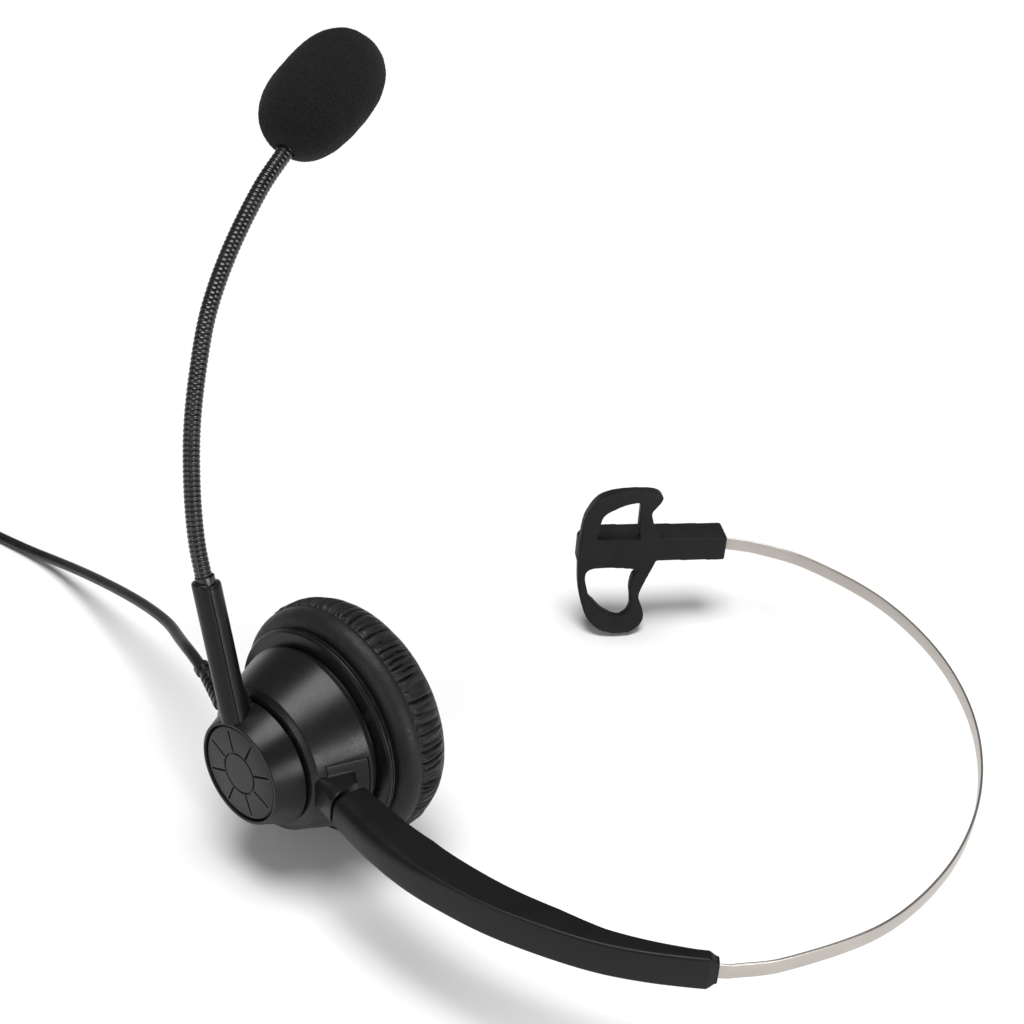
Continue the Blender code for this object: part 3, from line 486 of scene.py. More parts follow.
def speckled(name, colour, roughness, metallic=0.0, size=0.6, relief=0.01):
    """A plain part inside, with its own slight unevenness."""
    look = Nodes(name)
    grains = look.noise(size, 4.0, 0.6)
    look.set(Base_Color=look.between(grains, shade(colour, 0.8), shade(colour, 1.15)))
    gloss = look.ramp(grains, 0.3, 0.7, roughness - 0.07, roughness + 0.07)
    look.set(Roughness=gloss, Metallic=metallic)
    look.bump(grains, relief)
    return look.material


def wound_copper():
    look = Nodes("wound_copper")
    turns = look.node("ShaderNodeTexWave", {
        "Vector": look.place, "Scale": 9000.0, "Distortion": 0.4,
    }, wave_type="BANDS", bands_direction="X")
    wave = turns.outputs["Fac"]
    # Darker copper in the grooves between the turns, where the relief is low, and lighter on their crowns:
    # painted shade.
    look.set(Base_Color=look.between(wave, (0.42, 0.17, 0.08), (0.80, 0.42, 0.24)))
    look.set(Roughness=look.ramp(wave, 0.0, 1.0, 0.45, 0.25), Metallic=1.0)
    look.bump(wave, 0.03)
    return look.material


def circuit_board():
    look = Nodes("circuit_board")
    pads = look.cells(2.2, randomness=0.4)
    tracks = look.noise(1.1, 0.0, distortion=2.0)
    line = look.ramp(look.sum("ABSOLUTE", look.sum("SUBTRACT", tracks, 0.5), 0.0), 0.02, 0.05, 1.0, 0.0)
    green = look.between(line, (0.012, 0.085, 0.035), (0.030, 0.190, 0.080))
    tinned = look.between(look.ramp(pads, 0.20, 0.26, 1.0, 0.0), green, (0.75, 0.72, 0.62))
    look.set(Base_Color=tinned, Roughness=look.ramp(pads, 0.2, 0.3, 0.25, 0.45))
    look.bump(line, 0.02)
    return look.material


SHELL = moulded("shell_plastic", (0.006, 0.006, 0.007), 0.33)
BOOM_LOOK = moulded("boom_plastic", (0.006, 0.006, 0.007), 0.32, specular=0.20)
ARM_LOOK = moulded("arm_plastic", (0.005, 0.005, 0.006), 0.42, grain=0.45, relief=0.006, specular=0.20)
INNER = moulded("inner_plastic", (0.040, 0.040, 0.043), 0.5, grain=0.6)
LEATHERETTE = leatherette()
FOAM = open_foam()
NECK_LOOK = rubber("neck_rubber", (0.005, 0.005, 0.005), 0.25, specular=0.55, relief=0.004)
PAD_LOOK = rubber("pad_rubber", (0.006, 0.006, 0.007), 0.60, grain=0.4, relief=0.02, specular=0.20)
JACKET = rubber("cord_jacket", (0.006, 0.006, 0.007), 0.42, grain=0.6, relief=0.008)
BAND_LOOK = brushed_steel("band_steel", (0.50, 0.465, 0.43), 0.34)
STEEL = brushed_steel("fastener_steel", (0.55, 0.55, 0.56), 0.30, brushed=False)
MAGNET = speckled("magnet_metal", (0.40, 0.40, 0.41), 0.34, metallic=1.0, size=0.9)
CONE = speckled("cone_film", (0.22, 0.20, 0.17), 0.40, size=1.4)
COPPER = wound_copper()
BOARD = circuit_board()
CLEAR = clear_plastic()
GOLD = speckled("contact_gold", (0.83, 0.62, 0.26), 0.22, metallic=1.0, size=0.4, relief=0.003)

CAD_LOOKS = {
    "speaker_frame": INNER, "cushion_mount_ring": INNER, "hub_axle": INNER, "mic_carrier": INNER,
    "temple_core": INNER, "hub_screw": STEEL, "hub_retainer": STEEL, "friction_ring": STEEL,
    "tilt_pin": STEEL, "band_spring": STEEL, "speaker_magnet": MAGNET, "mic_capsule": MAGNET,
    "speaker_diaphragm": CONE, "voice_coil": COPPER, "terminal_board": BOARD, "cushion_foam": FOAM,
    "plug_contact_1": GOLD, "plug_contact_2": GOLD, "plug_contact_3": GOLD, "plug_contact_4": GOLD,
    "arm_screw_1": STEEL, "arm_screw_2": STEEL,
}


def dress_cad_nodes():
    for name, look in CAD_LOOKS.items():
        mesh = frame["nodes"][name].data
        mesh.materials.clear()
        mesh.materials.append(look)


# ---------------------------------------------------------------- cord
CORD_R = 0.0014
CORD_LOW = CORD_R + 0.0001
CORD_KNOTS = (
    (-0.0684, 0.0737, 0.0316),
    (-0.0673, 0.0775, 0.0317),
    (-0.0655, 0.0825, 0.0308),
    (-0.0625, 0.0890, 0.0283),
    (-0.0577, 0.1000, 0.0249),
    (-0.0540, 0.1125, 0.0213),
    (-0.0512, 0.1250, 0.0177),
    (-0.0489, 0.1370, 0.0141),
    (-0.0470, 0.1490, 0.0106),
    (-0.0454, 0.1610, 0.0071),
    (-0.0445, 0.1730, 0.0040),
    (-0.0448, 0.1840, 0.0021),
    (-0.0460, 0.1950, 0.0015),
    (-0.0474, 0.2050, 0.0015),
    (-0.0487, 0.2143, 0.0015),
    (-0.0498, 0.2225, 0.0015),
)
TAIL_KNOTS = (
    (-0.0921, 0.2215, 0.0015),
    (-0.0908, 0.2145, 0.0015),
    (-0.0893, 0.2080, 0.0019),
    (-0.0883, 0.2025, 0.0030),
    (-0.0880, 0.1965, 0.0039),
)
COIL_CENTRE = (-0.0703, 0.2260)
COIL_IN_R = 0.0115
COIL_PITCH = 0.0028
COIL_COLUMNS = 4
COIL_ROWS = 4
COIL_FIRST = math.radians(10)
TIE_ANGLE = math.radians(90)


def coil_point(radius, angle, height):
    """A point of the winding, squeezed a little where the tie holds it."""
    near_tie = math.cos(0.5 * (angle - TIE_ANGLE)) ** 2
    held = ease(0.90, 1.0, near_tie)
    middle = COIL_IN_R + 0.5 * COIL_PITCH * (COIL_COLUMNS - 1)
    radius = middle + (radius - middle) * (1 - 0.07 * held)
    height += 0.0008 * held * (1 - height / 0.024)
    x, y = COIL_CENTRE
    return Vector((x + radius * math.cos(angle), y + radius * math.sin(angle), height))


def coil_points():
    """Turns that go in and out in layers, each a cord's width from the next, then a way down outside them."""
    order = []
    for row in range(COIL_ROWS):
        columns = range(COIL_COLUMNS)
        order += [(column, row) for column in (columns if row % 2 else reversed(columns))]
    order.remove((0, COIL_ROWS - 1))
    steps = 60
    points = []
    for number, (column, row) in enumerate(order):
        radius = COIL_IN_R + COIL_PITCH * column
        height = CORD_LOW + COIL_PITCH * row
        last = number == len(order) - 1
        next_radius, next_height = radius, height
        if not last:
            next_radius = COIL_IN_R + COIL_PITCH * order[number + 1][0]
            next_height = CORD_LOW + COIL_PITCH * order[number + 1][1]
        for i in range(steps):
            share = i / steps
            shift = ease(0.80, 1.0, share)
            angle = COIL_FIRST + math.tau * (number + share)
            points.append(coil_point(radius + (next_radius - radius) * shift, angle,
                                     height + (next_height - height) * shift))
    top = CORD_LOW + COIL_PITCH * (COIL_ROWS - 1)
    outer = COIL_IN_R + COIL_PITCH * (COIL_COLUMNS - 1)
    turn = math.tau * len(order)
    for i in range(27):
        degrees = 6.0 * i
        out = ease(20, 95, degrees)
        drop = ease(75, 158, degrees)
        angle = COIL_FIRST + turn + math.radians(degrees)
        point = coil_point(outer + 0.0029 * out, angle, top)
        point.z += (CORD_LOW - top) * drop
        points.append(point)
    return points


def cord():
    entry = curve_through(CORD_KNOTS, 0.004)
    tail = curve_through(TAIL_KNOTS, 0.003)
    points = entry + coil_points() + tail
    line = bpy.data.curves.new("cord", "CURVE")
    line.dimensions = "3D"
    line.bevel_depth = CORD_R
    line.bevel_resolution = 5
    line.use_fill_caps = True
    run = line.splines.new("POLY")
    run.points.add(len(points) - 1)
    for spot, point in zip(run.points, points):
        spot.co = (*point, 1.0)
    run.use_smooth = True
    line.materials.append(JACKET)
    piece = bpy.data.objects.new("cord_line", line)
    bpy.context.scene.collection.objects.link(piece)
    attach(piece, "ear_cup")
    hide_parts("cord", "cord_tail", "cord_coil")
    return piece


# ---------------------------------------------------------------- camera, light and floor
CAMERA_AT = (-190.23, -232.03, 237.94)
CAMERA_RIGHT = (0.67153, -0.73772, 0.06943)
CAMERA_UP = (0.32402, 0.37663, 0.86785)
CAMERA_BACK = (-0.66637, -0.56029, 0.49195)
LENS = 59.87
SENSOR = 36.0
SKY_STRENGTH = 0.20
SUN_ENERGY = 3.1
SUN_SPREAD = 35
SUN_TURN = (3.0, -3.0)
# Name, azimuth and elevation in degrees, width and height in metres, power.
SOFTBOXES = (("front", -97, 11, (0.42, 0.32), 4.4), ("left", 178, 12, (0.30, 0.32), 1.6))
SOFTBOX_AIM = (-0.07, 0.04, 0.03)
FLOOR_REACH = 8.0


def camera():
    data = bpy.data.cameras.new("view")
    data.lens = LENS
    data.sensor_width = SENSOR
    data.clip_start = 0.01
    data.clip_end = 50.0
    made = bpy.data.objects.new("view", data)
    turn = DESIGN.to_3x3().normalized()
    axes = [turn @ Vector(axis) for axis in (CAMERA_RIGHT, CAMERA_UP, CAMERA_BACK)]
    place = Matrix.Translation(DESIGN @ Vector(CAMERA_AT))
    made.matrix_world = place @ Matrix(axes).transposed().to_4x4()
    bpy.context.scene.collection.objects.link(made)
    bpy.context.scene.camera = made


def softbox(name, azimuth, elevation, size, power):
    """A rectangular light a metre from the ear cup, facing it."""
    data = bpy.data.lights.new(name, "AREA")
    data.shape = "RECTANGLE"
    data.size, data.size_y = size
    data.energy = power
    made = bpy.data.objects.new(name, data)
    around, up = math.radians(azimuth), math.radians(elevation)
    away = Vector((math.cos(around) * math.cos(up), math.sin(around) * math.cos(up), math.sin(up)))
    made.location = Vector(SOFTBOX_AIM) + away
    made.rotation_euler = away.to_track_quat("Z", "Y").to_euler()
    bpy.context.scene.collection.objects.link(made)


def studio():
    scene = bpy.context.scene
    scene.view_settings.view_transform = "Standard"
    world = bpy.data.worlds.new("studio")
    world.use_nodes = True
    scene.world = world
    sky = world.node_tree.nodes["Background"]
    sky.inputs["Color"].default_value = (1.0, 1.0, 1.0, 1.0)
    sky.inputs["Strength"].default_value = SKY_STRENGTH
    overhead = bpy.data.lights.new("overhead", "SUN")
    overhead.energy = SUN_ENERGY
    overhead.angle = math.radians(SUN_SPREAD)
    lamp = bpy.data.objects.new("overhead", overhead)
    lamp.rotation_euler = (*(math.radians(turn) for turn in SUN_TURN), 0)
    scene.collection.objects.link(lamp)
    for settings in SOFTBOXES:
        softbox(*settings)


def floor():
    shape = bmesh.new()
    side = FLOOR_REACH
    corners = ((-side, -side), (side, -side), (side, side), (-side, side))
    shape.faces.new([shape.verts.new((x, y, 0.0)) for x, y in corners])
    mesh = bpy.data.meshes.new("floor")
    shape.to_mesh(mesh)
    shape.free()
    made = bpy.data.objects.new("floor", mesh)
    look = Nodes("pale_floor")
    faint = look.noise(60.0, 2.0)
    look.set(Base_Color=look.between(faint, (0.83, 0.83, 0.83), (0.87, 0.87, 0.87)))
    look.set(Roughness=look.ramp(faint, 0.3, 0.7, 0.85, 0.92))
    mesh.materials.append(look.material)
    bpy.context.scene.collection.objects.link(made)


# ---------------------------------------------------------------- ear cup
BELL_FRONT = (7.15, 17.0)
BELL_REAR = (19.5, 21.9)
STRAIN_START = (11.8, 13.6, 0.2)
STRAIN_ALONG = (0.27, 0.96, 0.08)
STRAIN_LENGTH = 22.8


def bell_radius(x):
    part = (x - BELL_FRONT[0]) / (BELL_REAR[0] - BELL_FRONT[0])
    return BELL_FRONT[1] + part * (BELL_REAR[1] - BELL_FRONT[1])


def speaker_housing():
    profile = rounded((
        (7.15, 4.4),
        (7.15, 16.1),
        (8.0, 17.42),
        (19.5, 21.9),
        (20.3, 21.95),
        (20.3, 20.0),
        (19.3, 20.0),
        (8.9, 15.6),
        (8.9, 4.4),
    ), (0, 0.5, 0.9, 0.5, 0.25, 0.1, 0.1, 0.3, 0), closed=True)
    bell = make("housing_bell", turned(profile))
    combine(bell, "DIFFERENCE", block((9.94, -30, -6.5), (19.1, -12, 6.5)))
    combine(bell, "DIFFERENCE", lofted(boss_sections(0.06)))
    start = Vector(STRAIN_START)
    end = start + Vector(STRAIN_ALONG).normalized() * STRAIN_LENGTH
    combine(bell, "DIFFERENCE", rod(start, end, STRAIN_HOLE_R))
    finish_piece(bell, SHELL, "ear_cup", ["speaker_housing"], bevel=0.12)


BOSS_ROOT = ((7.6, -16.0), (16.5, -19.4))
BOSS_END = ((5.8, -23.2), (14.0, -23.2))
ARM_HALF = 4.0
# The rounding of the head's upper and lower outer corners.
HEAD_SOFT = (3.8, 2.2)
STRAIN_HOLE_R = 2.6


def boss_sections(grow=0.0):
    """Sections of the boss from inside the bell to its end, which has the outline of the arm's head."""
    sections = []
    for i in range(25):
        t = i / 24
        near = Vector(BOSS_ROOT[0]).lerp(Vector(BOSS_END[0]), t) + Vector((-grow, 0))
        far = Vector(BOSS_ROOT[1]).lerp(Vector(BOSS_END[1]), t) + Vector((grow, 0))
        half = ARM_HALF + grow
        corners = ((*near, half), (*far, half), (*far, -half), (*near, -half))
        top, bottom = (1.6 + (soft - 1.6) * t for soft in HEAD_SOFT)
        sections.append(rounded(corners, (top, 1.2, 1.2, bottom), closed=True, steps=8))
    return sections


def arm_boss():
    near, far, proud, wall = 10.06, 18.98, 0.04, -1.45
    corners = ((near, proud), (far, proud), (far, wall), (near, wall))
    panel = rounded([(x, bell_radius(x) + out) for x, out in corners], 0.16, closed=True)
    boss = make("boss_panel", turned(panel))
    combine(boss, "INTERSECT", block((9.0, -30, -6.38), (20.0, -12, 6.38)))
    combine(boss, "UNION", lofted(boss_sections()))
    combine(boss, "DIFFERENCE", block((7.5, -28, -1.65), (11.4, -17.4, 1.65)))
    melted(boss, 0.14, 3)
    finish_piece(boss, SHELL, "ear_cup", ["arm_boss"], sharp=60)


def bezel_ring():
    profile = rounded((
        (20.5, 17.5),
        (20.5, 20.8),
        (21.6, 20.8),
        (21.7, 24.6),
        (22.2, 25.1),
        (23.4, 25.1),
        (23.9, 24.5),
        (23.9, 17.5),
    ), (0, 0.1, 0.15, 0.25, 0.3, 0.3, 0.2, 0), closed=True)
    ring = make("bezel_flange", turned(profile, steps=224))
    combine(ring, "DIFFERENCE", turned(((22.62, 24.7), (22.62, 25.4), (22.88, 25.4), (22.88, 24.7))))
    finish_piece(ring, SHELL, "ear_cup", ["bezel_ring"])


def speaker_screen():
    plate = rounded(((23.8, 0), (23.8, 17.1), (24.5, 17.1), (24.5, 0)), 0.2)
    screen = make("screen_grille", turned(plate, steps=96))
    holes = []
    for ring in range(5):
        count = 6 * ring or 1
        for i in range(count):
            angle = math.tau * (i + 0.5 * (ring % 2)) / count
            y, z = 2.9 * ring * math.cos(angle), 2.9 * ring * math.sin(angle)
            holes.append(rod((23, y, z), (25.5, y, z), 0.85, 16))
    combine(screen, "DIFFERENCE", joined(holes))
    finish_piece(screen, INNER, "ear_cup", ["speaker_screen"], bevel=0.1)


CUSHION_COVER = (
    (24.3, 23.2),
    (24.55, 25.3),
    (25.2, 26.9),
    (26.3, 27.9),
    (27.6, 28.4),
    (28.65, 28.45),
    (29.15, 28.75),
    (30.2, 29.0),
    (32.4, 28.95),
    (34.9, 28.2),
    (37.4, 26.5),
    (39.1, 24.0),
    (39.6, 22.0),
    (39.6, 18.0),
    (38.8, 12.5),
    (37.2, 8.7),
    (34.5, 7.0),
)
CUSHION_INNER = (
    (34.5, 8.2),
    (36.3, 9.8),
    (37.7, 13.4),
    (38.4, 18.0),
    (38.4, 21.6),
    (36.9, 25.2),
    (34.2, 27.2),
    (30.5, 27.8),
    (26.7, 26.7),
    (25.5, 23.2),
)
PLEATS = 92
SEAM_X = 28.75
CUSHION_STEPS = 828
CUSHION_LOW = 0.00002


def pleated(along, radius, angle):
    """Gathers the leatherette into folds round its rim, and leaves it softly uneven elsewhere."""
    spot = Vector((math.cos(angle), math.sin(angle), 0.0))
    wander = noise.noise(spot * 6.0)
    lean = noise.noise(spot * 19.0 + Vector((0, 0, along * 0.16)))
    fold = 0.5 + 0.5 * math.cos(angle * PLEATS + 6.0 * wander + 2.4 * lean)
    depth = min(1.0, max(0.25, 0.72 + 0.9 * noise.noise(spot * 37.0)))
    reach = 36.0 + 3.4 * noise.noise(spot * 31.0 + Vector((3.0, 0, 0)))
    gathered = ease(28.6, 29.4, along) * (1 - ease(reach - 3.6, reach + 1.4, along))
    seam = math.exp(-(((along - SEAM_X) / 0.30) ** 2))
    swollen = ease(29.0, 30.2, along) * (1 - ease(34.0, 38.5, along))
    if radius < 23.0:
        gathered, seam, swollen = 0.0, 0.0, 0.0
    slow = noise.noise(Vector((spot.x * 2.4, spot.y * 2.4, along * 0.11)))
    bumps = noise.noise(Vector((spot.x * 9.0, spot.y * 9.0, along * 0.35)))
    wide = noise.noise(Vector((spot.x * 15.0, spot.y * 15.0, along * 0.25)))
    r = radius + ease(24.3, 25.0, along) * ease(23.6, 25.2, radius) * (0.10 * slow + 0.04 * bumps)
    r += 0.20 * wide * swollen - 1.35 * gathered * depth * (1 - fold ** 0.45) - 0.28 * seam
    inner_creases = (1 - ease(9.0, 15.0, radius)) * ease(34.0, 36.0, along)
    crease = 0.10 * math.cos(angle * 46 + 3.0 * wander) * inner_creases
    x = along + ease(33.0, 38.5, along) * (0.10 * slow + 0.05 * bumps) + crease
    return x, r


def ear_cushion():
    cover = curve_through([(*point, 0) for point in CUSHION_COVER], 0.36)
    inner = curve_through([(*point, 0) for point in CUSHION_INNER], 1.2)
    profile = [(p.x, p.y) for p in cover] + [(p.x, p.y) for p in inner]
    cushion = make("cushion_cover", turned(profile, steps=CUSHION_STEPS, change=pleated))
    for vertex in cushion.data.vertices:
        vertex.co.z = max(vertex.co.z, CUSHION_LOW)
    finish_piece(cushion, LEATHERETTE, "ear_cup", ["ear_cushion"], sharp=80)


def strain_relief():
    outline = [(0, 0), (0, 2.8), (0.9, 2.8), (0.9, 2.3), (8.6, 2.3), (8.6, 2.85), (9.7, 2.85)]
    start = 9.7
    for rib in range(5):
        radius = 2.65 - 0.17 * rib
        steps = ((0.05, -0.5), (0.75, -0.5), (0.85, 0), (1.75, -0.05))
        outline += [(start + along, radius + step) for along, step in steps]
        start += 1.8
    outline += [(18.8, 1.6), (20.4, 1.55), (20.5, 2.05), (22.4, 2.05)]
    outline += [(STRAIN_LENGTH, 1.5), (STRAIN_LENGTH, 0)]
    profile = rounded(outline, 0.16, steps=3)
    relief = make("cord_boot", turned(profile, along_x(STRAIN_START, STRAIN_ALONG), 64))
    finish_piece(relief, NECK_LOOK, "ear_cup", ["strain_relief"], sharp=50)


# ---------------------------------------------------------------- swivel hub
BOOM_SWIVEL = 17.0
TUBE_X = 2.3
TUBE_R = 3.1
TUBE_BORE_R = 2.2
SEAM_ANGLE = 246.0


def boom_point(x, height, across=0.0):
    """A point at a height along the boom's own radius from the swivel axis."""
    swivel = math.radians(BOOM_SWIVEL)
    return Vector((
        x,
        height * math.sin(swivel) + across * math.cos(swivel),
        height * math.cos(swivel) - across * math.sin(swivel),
    ))


def boom_hub():
    profile = rounded((
        (2.4, 9.5),
        (2.4, 11.6),
        (0.0, 11.62),
        (0.0, 12.3),
        (6.6, 15.05),
        (6.6, 10.0),
        (5.4, 10.0),
        (5.4, 6.0),
        (6.6, 6.0),
        (6.6, 4.4),
        (4.0, 4.4),
        (4.0, 9.5),
    ), (0, 0.1, 0.12, 0.34, 0.3, 0.1, 0, 0, 0, 0, 0, 0), closed=True)
    hub = make("hub_cone", turned(profile))
    web = []
    for height, rear, half in ((10.5, 6.9, 1.7), (13.0, 6.9, 1.5), (15.0, 6.75, 1.3), (17.0, 6.2, 1.0),
                               (19.0, 5.55, 0.6), (20.6, 5.2, 0.25)):
        corners = ((2.3, -half), (rear, -half), (rear + 0.05, 0.0), (rear, half), (2.3, half))
        ring = rounded([(x, across, 0) for x, across in corners], (0, 0.5, 0, 0.5, 0), closed=True)
        web.append([boom_point(x, height, across) for x, across, _ in ring])
    combine(hub, "UNION", lofted(web))
    cleared = TUBE_R + 0.18
    combine(hub, "DIFFERENCE", rod(boom_point(TUBE_X, 12.15), boom_point(TUBE_X, 30), cleared, 96))
    combine(hub, "UNION", rod(boom_point(TUBE_X, 12.0), boom_point(TUBE_X, 37.6), 1.9))
    recess = turned(((-4, 0), (-4, 11.62), (2.4, 11.62), (2.4, 0)))
    combine(hub, "DIFFERENCE", recess)
    finish_piece(hub, BOOM_LOOK, "boom", ["boom_hub"], sharp=30)


def slot_shape(start, end, half, depth):
    """A groove with rounded ends in the cap's face, along a radius."""
    outline = []
    for middle, turn in ((start, 90), (end, -90)):
        for i in range(9):
            angle = math.radians(turn + 180 * i / 8)
            outline.append((middle + half * math.cos(angle), half * math.sin(angle)))
    return [[Vector((x, r, z)) for r, z in outline] for x in (-1.0, depth)]


def hub_cap():
    profile = rounded((
        (0.05, 0),
        (0.12, 6.0),
        (0.30, 10.95),
        (0.75, 11.5),
        (2.1, 11.5),
        (2.1, 9.9),
        (1.3, 9.9),
        (1.3, 0),
    ), (0, 0, 0.4, 0.3, 0, 0, 0, 0))
    cap = make("cap_disc", turned(profile))
    groove = rounded(((-0.5, 4.6), (0.5, 4.66), (0.5, 5.06), (-0.5, 5.12)), 0.08, closed=True)
    combine(cap, "DIFFERENCE", turned(groove))
    cuts = []
    for i in range(8):
        turn = Matrix.Rotation(math.tau * (i + 0.5) / 8, 4, "X")
        sections = [[turn @ point for point in section] for section in slot_shape(5.45, 10.1, 0.26, 0.62)]
        cuts.append(lofted(sections))
    combine(cap, "DIFFERENCE", joined(cuts))
    finish_piece(cap, BOOM_LOOK, "boom", ["hub_cap"], sharp=30, bevel=0.07)


# ---------------------------------------------------------------- boom
def tube_half(name, side, top, slope, nodes):
    """Half of the tube. Its top end slopes across, and its long edges are slightly rounded."""
    facing = math.radians(SEAM_ANGLE + side + 90)
    shift = (0.045 * math.cos(facing), 0.045 * math.sin(facing))
    sections = []
    ends = [(12.2, -0.12), (12.35, 0.0)] + [(12.6 + (top - 14.2) * i / 24, 0.0) for i in range(25)]
    ends += [(top - 0.9, 0.0), (top - 0.45, -0.05), (top - 0.15, -0.18), (top, -0.42)]
    for height, inset in ends:
        outer = TUBE_R + inset
        arc = [math.radians(SEAM_ANGLE + side + 1.6 + 176.8 * i / 26) for i in range(27)]
        edge = [(outer, a) for a in arc]
        edge = [(outer - 0.09, arc[0] - 0.026), *edge, (outer - 0.09, arc[-1] + 0.026)]
        bore = [math.radians(SEAM_ANGLE + side + 180 * i / 20) for i in range(21)]
        edge += [(TUBE_BORE_R, a) for a in reversed(bore)]
        ring = []
        for r, a in edge:
            lean = slope * (0.5 - 0.5 * math.cos(a - facing)) * ease(top - 12.0, top, height)
            x, across = TUBE_X + shift[0] + r * math.cos(a), shift[1] + r * math.sin(a)
            ring.append(boom_point(x, height - lean, across))
        sections.append(ring)
    half = make(name, lofted(sections))
    finish_piece(half, BOOM_LOOK, "boom", nodes, sharp=38)


def boom_tube():
    tube_half("tube_left", 0.0, 44.3, 0.7, ["boom_tube_left"])
    tube_half("tube_right", 180.0, 45.1, 1.4, ["boom_tube_right"])


NECK_KNOTS = (
    (2.3, 38.0),
    (2.1, 46.0),
    (2.3, 54.0),
    (3.9, 64.6),
    (7.0, 76.8),
    (11.6, 88.5),
    (17.4, 99.8),
    (25.8, 110.6),
    (36.5, 121.1),
    (45.3, 127.65),
    (52.9, 133.4),
)
NECK_R = 1.86
RIB_PITCH = 1.06
RIB_STEPS = 8
RIB_DEPTH = 0.16
NECK_JOIN = 49.5


def neck_piece(name, start, end, points, runs):
    """The ribbed skin between two runs of the centreline."""
    first = math.ceil(start / RIB_PITCH * RIB_STEPS - 1e-6)
    last = math.floor(end / RIB_PITCH * RIB_STEPS + 1e-6)
    places, radii = [], []
    for i in range(first, last + 1):
        run = i * RIB_PITCH / RIB_STEPS
        rib = 0.5 + 0.5 * math.cos(math.tau * run / RIB_PITCH)
        places.append(point_at(points, runs, run))
        radii.append(NECK_R - RIB_DEPTH * (1 - rib ** 0.55))
    return make(name, swept(places, radii, 28))


def gooseneck():
    points = curve_through([boom_point(x, height) for x, height in NECK_KNOTS], 0.25)
    runs = runs_of(points)
    join = round(NECK_JOIN / RIB_PITCH) * RIB_PITCH
    lower = neck_piece("neck_lower", 0.0, join, points, runs)
    upper = neck_piece("neck_upper", join, runs[-1], points, runs)
    for piece in (lower, upper):
        finish_piece(piece, NECK_LOOK, None, None, sharp=80)
    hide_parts("gooseneck_lower", "gooseneck_middle")
    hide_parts("gooseneck_upper")
    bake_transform(lower)
    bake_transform(upper)
    corners = ((43.9, 1.95), (43.9, 2.15), (45.9, 2.15), (45.9, 1.95))
    collar = rounded(corners, (0, 0.1, 0.15, 0.05), closed=True)
    place = along_x(boom_point(TUBE_X, 0.0), boom_point(0.0, 1.0))
    ring = make("neck_collar", turned(collar, place, 64))
    finish_piece(ring, NECK_LOOK, "boom", None)


CAPSULE_CENTRE = (58.6, 137.7)
CAPSULE_SLOPE = 37.1
FOAM_CENTRE = (58.55, 137.65)
FOAM_SLOPE = 28.8
FOAM_HALF = 16.45
FOAM_R = 10.65
FOAM_FULLNESS = 2.6
FERRULE_BORE_R = 2.02
CAPSULE_BORE_R = 3.3


def along_boom_plane(centre, slope):
    """A placement in the boom's plane, with X at a slope in degrees from the cup's axis."""
    turn = math.radians(slope)
    here = boom_point(*centre)
    ahead = boom_point(centre[0] + math.cos(turn), centre[1] + math.sin(turn)) - here
    return along_x(here, ahead)


def windscreen():
    outline = [(-FOAM_HALF, 0)]
    for i in range(1, 110):
        angle = math.pi * i / 110
        share = (1 - abs(math.cos(angle)) ** FOAM_FULLNESS) ** (1 / FOAM_FULLNESS)
        outline.append((-FOAM_HALF * math.cos(angle), FOAM_R * share))
    outline.append((FOAM_HALF, 0))

    def cellular(along, radius, angle):
        spot = Vector((along, radius * math.cos(angle), radius * math.sin(angle)))
        rough = 0.05 * noise.noise(spot * 1.9) + 0.05 * noise.noise(spot * 3.7)
        rough += 0.10 * noise.noise(spot * 0.28)
        return along + rough * along / FOAM_HALF, radius + rough * min(1.0, radius / 4.0)

    place = along_boom_plane(FOAM_CENTRE, FOAM_SLOPE)
    foam = make("foam_ball", turned(outline, place, 256, cellular))
    bore = ((-24, 0), (-24, FERRULE_BORE_R), (-14.9, FERRULE_BORE_R), (-14.7, CAPSULE_BORE_R),
            (1.6, CAPSULE_BORE_R), (1.6, 0))
    combine(foam, "DIFFERENCE", turned(bore, along_boom_plane(CAPSULE_CENTRE, CAPSULE_SLOPE), 64))
    finish_piece(foam, FOAM, "microphone", ["windscreen"], sharp=80)


# ---------------------------------------------------------------- arm
# Outer face x and y, thickness, outer wall, inner cover, half width of the channel.
ARM_STATIONS = (
    (5.8, -23.6, 8.2, 1.3, 1.8, 2.9),
    (3.6, -36.0, 8.9, 1.3, 1.8, 2.9),
    (3.0, -48.0, 9.2, 1.3, 1.8, 2.9),
    (4.1, -58.5, 8.2, 1.3, 1.8, 2.9),
    (6.2, -69.8, 7.4, 1.3, 1.8, 2.9),
    (10.0, -81.6, 6.4, 1.2, 1.5, 2.9),
    (14.1, -91.2, 4.8, 1.1, 1.2, 2.9),
    (19.0, -99.3, 3.9, 1.0, 0.9, 2.9),
    (24.6, -106.8, 3.2, 0.8, 0.8, 2.1),
    (27.8, -110.6, 3.1, 0.8, 0.8, 2.1),
)
ARM_CHAMFER_FROM = 8.45
ARM_END = 8.95
ARM_GAP = 0.22
SCREW_STATIONS = (2.0, 4.0)
POST_R = 1.9
SCREW_BORE_R = 1.0
SCREW_HEAD_BORE_R = 1.95


